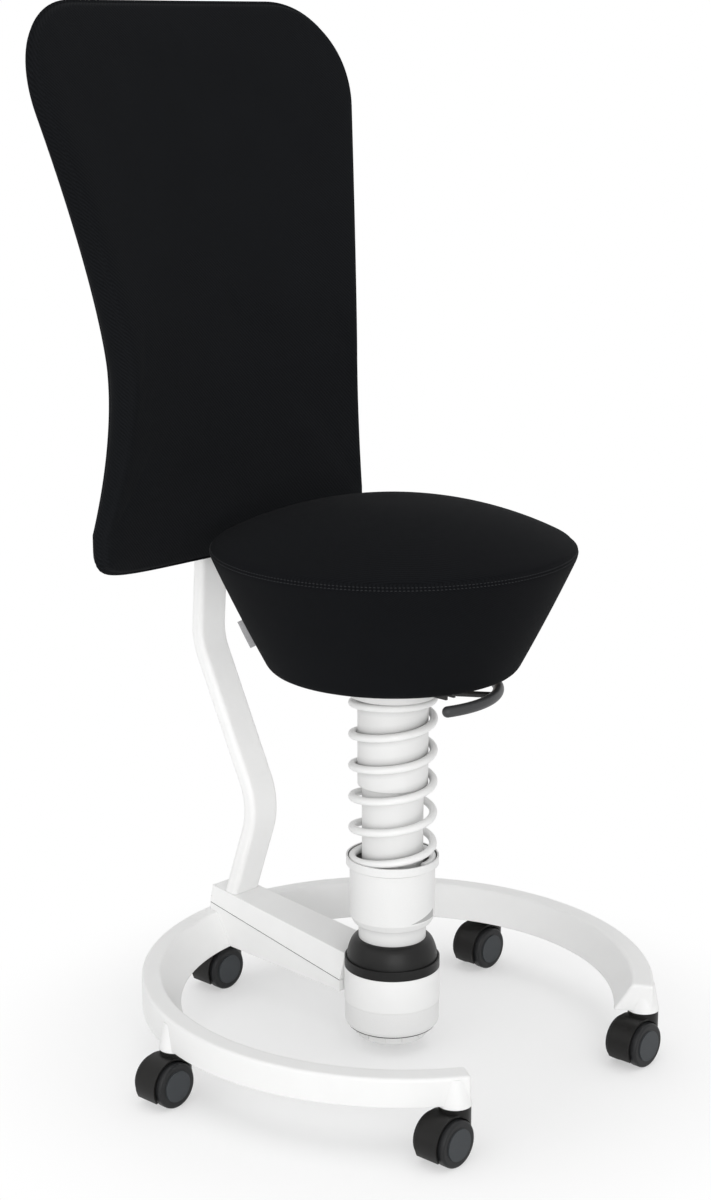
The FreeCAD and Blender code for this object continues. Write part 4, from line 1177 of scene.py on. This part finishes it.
@dataclass
class Back:
    """The tall padded back on its shell."""

    bottom_z: float = 527.5 * MM
    round_z: float = 581.0 * MM
    waist_z: float = 751.0 * MM
    head_z: float = 1062.0 * MM
    top_z: float = 1141.0 * MM
    half_ws: Triple = (205.5 * MM, 177.0 * MM, 241.0 * MM)
    edge_ys: Triple = (228.0 * MM, 209.5 * MM, 279.0 * MM)
    thicks: Triple = (30.0 * MM, 50.0 * MM, 28.0 * MM)
    wrap: float = 26.0 * MM
    swells: Triple = (9.0 * MM, 3.0 * MM, 21.0 * MM)
    side_bulge: float = 0.15
    corner_r: float = 116.0 * MM
    rise_power: float = 1.28
    fall_power: float = 1.7
    bottom_power: float = 7.0
    crease_r: float = 11.0 * MM
    rear_r: float = 8.0 * MM
    centre_z: float = 841.0 * MM
    columns: int = 320
    front_rows: int = 40
    rear_rows: int = 26
    edge_rows: int = 7
    sewn_row: int = 2
    border_rows: int = 14
    outline_steps: Tuple[int, int] = (400, 600)
    pressure: float = 2.0
    swell_cap: float = 3.0 * MM

    def dress(self) -> None:
        """Give the back's other nodes their finishes."""
        painted(["back_shell", "back_mount_plate"], SHELL_BLACK)
        painted(["back_screws"], STEEL)

    def sizes(self, z: np.ndarray) -> Tuple[np.ndarray, np.ndarray, np.ndarray, np.ndarray]:
        """Half-width, place of the front's edge, thickness and the rear's swell at each height.

        Each grows from its waist value to its head or foot value: the first two with a power of the height's
        share, and the others evenly.

        Args:
            z: heights.

        Returns:
            Half-widths, places, thicknesses and swells.
        """
        high = np.maximum(z - self.waist_z, 0.0) / (self.head_z - self.waist_z)
        low = np.clip((self.waist_z - z) / (self.waist_z - self.round_z), 0.0, 1.0)
        curved = high ** self.rise_power, low ** self.fall_power
        return (grown(self.half_ws, *curved), grown(self.edge_ys, *curved),
                grown(self.thicks, high, low), grown(self.swells, high, low))

    def outline(self) -> Tuple[np.ndarray, np.ndarray]:
        """The pad's edge as seen from the front, and the way out from it.

        Its half-width is the waisted one, times the round of the bottom, less the round of the top corners.
        Points are spread evenly along it, up the sitter's left side and down the right.

        Returns:
            Points x, z, and unit vectors x, z.
        """
        round_steps, middle_steps = self.outline_steps
        share = np.linspace(0.0, math.pi / 2, round_steps)
        low = self.round_z - (self.round_z - self.bottom_z) * np.cos(share)
        corner_z = self.top_z - self.corner_r
        middle = np.linspace(self.round_z, corner_z, middle_steps)[1:]
        high = corner_z + self.corner_r * np.sin(share)[1:]
        z = np.concatenate([low, middle, high])
        sunk = np.clip((self.round_z - z) / (self.round_z - self.bottom_z), 0.0, 1.0)
        near = np.clip(z - corner_z, 0.0, self.corner_r)
        lost = self.corner_r - np.sqrt(np.maximum(self.corner_r ** 2 - near ** 2, 0.0))
        half_w = self.sizes(z)[0] * np.sqrt(1.0 - sunk ** self.bottom_power) - lost
        right = joined(half_w, z)
        loop = looped(np.concatenate([right, right[::-1] * (-1.0, 1.0)]))
        way = way_along(loop)
        at = np.linspace(0.0, way[-1], self.columns, endpoint=False)
        even = read_off(at, way, loop)
        run = np.roll(even, -1, axis=0) - np.roll(even, 1, axis=0)
        return even, unit(joined(run[:, 1], -run[:, 0]))

    def front(self, x: np.ndarray, z: np.ndarray) -> np.ndarray:
        """Where the front is: its edge, plus the wrap times one less the squared share of the half-width."""
        half_w, edge_y, _, _ = self.sizes(z)
        return edge_y + self.wrap * (1.0 - (x / half_w) ** 2)

    def rear(self, x: np.ndarray, z: np.ndarray) -> np.ndarray:
        """Where the rear is: the edge plus the thickness, with a low swell across."""
        half_w, edge_y, thick, swell_y = self.sizes(z)
        return edge_y + thick + swell_y * (1.0 - (x / half_w) ** 2)

    def surface(self) -> Tuple[np.ndarray, np.ndarray, np.ndarray]:
        """The pad as one grid, from the front's middle over the edge to the rear's middle.

        Rows of the front and rear are the outline, drawn in by the edge's round, scaled towards the middle.
        The edge is a quarter round, a wall that bulges like a parabola, and a second quarter round.

        Returns:
            Points, place on the cloth, and which rows stay sewn.
        """
        edge, out = self.outline()
        middle = np.array([0.0, self.centre_z])
        inner, back = edge - out * self.crease_r, edge - out * self.rear_r
        shrink = np.linspace(0.0, 1.0, self.front_rows)[:, None, None]
        face = middle + (inner - middle) * shrink
        face_y = self.front(face[..., 0], face[..., 1])
        turn = np.linspace(0.0, math.pi / 2, self.edge_rows)[1:, None]
        crease = edge - out * (self.crease_r * (1 - np.sin(turn)))[..., None]
        fore = self.front(edge[:, 0], edge[:, 1])
        aft = self.rear(edge[:, 0], edge[:, 1])
        crease_y = self.front(crease[..., 0], crease[..., 1]) + self.crease_r * (1 - np.cos(turn))
        way = np.linspace(0.0, 1.0, self.edge_rows)[1:, None]
        bulge = self.side_bulge * (aft - fore) * 4 * way * (1 - way)
        wall = edge + out * bulge[..., None]
        wall_y = crease_y[-1] + (aft - self.rear_r - crease_y[-1]) * way
        fold = edge - out * (self.rear_r * (1 - np.cos(turn)))[..., None]
        fold_y = aft - self.rear_r * (1 - np.sin(turn))
        close = np.linspace(1.0, 0.0, self.rear_rows)[1:, None, None]
        rear = middle + (back - middle) * close
        rear_y = self.rear(rear[..., 0], rear[..., 1])
        flat = np.concatenate([face, crease, wall, fold, rear])
        depth = np.concatenate([face_y, crease_y, wall_y, fold_y, rear_y])
        points = joined(flat[..., 0], depth, flat[..., 1])
        closed = looped(points, 1)
        panel = closed[..., [0, 2]]
        border = joined(way_along(closed[self.front_rows]), closed[..., 1])
        row = np.arange(len(points))
        sewn = row >= self.front_rows + self.sewn_row
        walls = sewn & (row < self.front_rows + self.sewn_row + self.border_rows)
        laid = np.where(walls[:-1, None, None, None], at_corners(border), at_corners(panel))
        return points, laid, sewn

    def pad(self) -> bpy.types.Object:
        """The pad, swelled a little at the front.

        Returns:
            The piece.
        """
        points, laid, still = self.surface()
        made = skin("back_pad_cover", points, BACK_CLOTH, laid=laid)
        swell(made, per_point(still, self.columns), self.pressure, self.swell_cap)
        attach(made, "base")
        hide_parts("back_cushion")
        log.info("back: pad of %d by %d points", *points.shape[:2])
        return made


@dataclass
class Studio:
    """The floor, the light and the camera."""

    eye: Triple = (-1.8322, -1.6381, 1.1136)
    right: Triple = (0.67886, -0.73427, 0.0)
    upward: Triple = (0.17381, 0.16068, 0.9716)
    lens: float = 70.33
    sensor: float = 36.0
    sky: float = 0.62
    suns: Tuple[Tuple[str, Triple, float, float], ...] = (
        ("overhead", (0.1, 0.15, -1.0), 0.55, 60.0),
        ("key", (0.58, 0.78, -0.22), 0.95, 40.0),
        ("fill", (0.95, -0.05, -0.28), 0.35, 60.0),
    )
    beam_at: Triple = (-2.0, -1.9, 0.75)
    beam_aim: Triple = (0.0, 0.29, 0.38)
    beam_watts: float = 85.0
    beam_width: float = math.radians(14.0)
    beam_soft: float = 0.25
    lamp_roll: Triple = (0.3, 0.9, 0.1)
    veil: float = 0.35
    shadow_near: float = 0.2
    shadow_far: float = 0.52
    floor_half: float = 14.0
    floor_cloud: float = 2.0
    floor_tones: Tuple[float, float] = (0.985, 0.995)

    def stand(self, data: Union[bpy.types.Camera, bpy.types.Light], x: np.ndarray, y: np.ndarray,
              at: Triple) -> bpy.types.Object:
        """Put a camera or a lamp at a place.

        Args:
            data: the camera or the lamp.
            x: the way to its right.
            y: the way up from it.
            at: its place.

        Returns:
            The object.
        """
        axes = np.eye(4)
        axes[:3] = joined(x, y, np.cross(x, y), at)
        made = linked(data.name, data)
        made.matrix_world = Matrix(axes.tolist())
        return made

    def camera(self) -> None:
        """Set the camera at the photograph's place."""
        data = bpy.data.cameras.new("camera")
        data.lens = self.lens
        data.sensor_fit = "VERTICAL"
        data.sensor_height = self.sensor
        x, upward = unit(np.array(self.right)), np.array(self.upward)
        bpy.context.scene.camera = self.stand(data, x, unit(upward - x * (x @ upward)), self.eye)

    def seen(self, bench: Bench) -> Wire:
        """One for rays that the camera sees, straight or in a reflection, and nothing for light."""
        path = bench.node("ShaderNodeLightPath")
        rays = [Wire(bench, path.outputs[f"Is {kind} Ray"]) for kind in ("Camera", "Glossy", "Transmission")]
        return rays[0].math("MAXIMUM", rays[0].math("MAXIMUM", rays[0], rays[1]), rays[2])

    def floor(self) -> None:
        """Lay a plain white floor that keeps the shadow, and that looks white further out."""
        half = self.floor_half
        corners = [(-half, -half, 0), (half, -half, 0), (half, half, 0), (-half, half, 0)]
        mesh = bpy.data.meshes.new("floor")
        mesh.from_pydata(corners, [], [(0, 1, 2, 3)])
        material = bpy.data.materials.new("floor_white")
        bench = Bench(material)
        place = bench.place()
        dark, pale = ((tone, tone, tone) for tone in self.floor_tones)
        colour = bench.mix(bench.noise(place, self.floor_cloud), dark, pale)
        sheet = bench.node("ShaderNodeBsdfDiffuse", {}, {"Color": colour})
        white = bench.node("ShaderNodeEmission", {}, {"Color": WHITE, "Strength": 1.0})
        away = bench.wire("ShaderNodeVectorMath", {"operation": "LENGTH"}, {0: place}, "Value")
        faded = away.eased(self.shadow_near, self.shadow_far)
        share = self.seen(bench) * (self.veil + (1.0 - self.veil) * faded)
        blend = bench.node("ShaderNodeMixShader", {}, {0: share, 1: sheet.outputs[0], 2: white.outputs[0]})
        bench.node("ShaderNodeOutputMaterial", {}, {"Surface": blend.outputs[0]})
        mesh.materials.append(material)
        made = linked("floor", mesh)

    def world(self) -> None:
        """Light everything evenly, and show white where nothing is."""
        world = bpy.data.worlds.new("studio")
        bench = Bench(world)
        strength = self.sky + (1.0 - self.sky) * self.seen(bench)
        light = bench.node("ShaderNodeBackground", {}, {"Color": WHITE, "Strength": strength})
        bench.node("ShaderNodeOutputWorld", {}, {"Surface": light.outputs[0]})
        bpy.context.scene.world = world

    def lamp(self, name: str, kind: str, at: Triple, toward: Triple, **settings: float) -> None:
        """Add a lamp, turned the way its light goes.

        Args:
            name: the lamp's name.
            kind: the lamp's type.
            at: its place.
            toward: the way its light goes.
            settings: its own settings.
        """
        data = bpy.data.lights.new(name, kind)
        for key, value in settings.items():
            setattr(data, key, value)
        z = -unit(np.array(toward))
        x = unit(np.cross(self.lamp_roll, z))
        self.stand(data, x, np.cross(z, x), at)

    def build(self) -> None:
        """Set up the studio, with wide soft lamps far away and a soft beam that reaches in under the seat."""
        self.camera()
        self.floor()
        self.world()
        for name, toward, strength, spread in self.suns:
            self.lamp(name, "SUN", (0.0, 0.0, 0.0), toward, energy=strength, angle=math.radians(spread))
        toward = tuple(np.array(self.beam_aim) - np.array(self.beam_at))
        self.lamp("beam", "SPOT", self.beam_at, toward, energy=self.beam_watts, spot_size=self.beam_width,
                  spot_blend=1.0, shadow_soft_size=self.beam_soft)
        bpy.context.scene.view_settings.view_transform = "Standard"


def main() -> None:
    """Build the pieces in order."""
    logging.basicConfig(level=logging.INFO, format="%(name)s: %(message)s")
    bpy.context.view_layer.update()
    base, column, seat, back = Base(), Column(), Seat(), Back()
    for part in (base, column, seat, back):
        part.dress()
    for piece in (*base.gap_shade_strips(), base.cup_shade_ring(), column.spring(), seat.cushion(), seat.label(), back.pad()):
        log.info("%s: %d points", piece.name, len(piece.data.vertices))
    Studio().build()


if __name__ == "__main__":
    main()
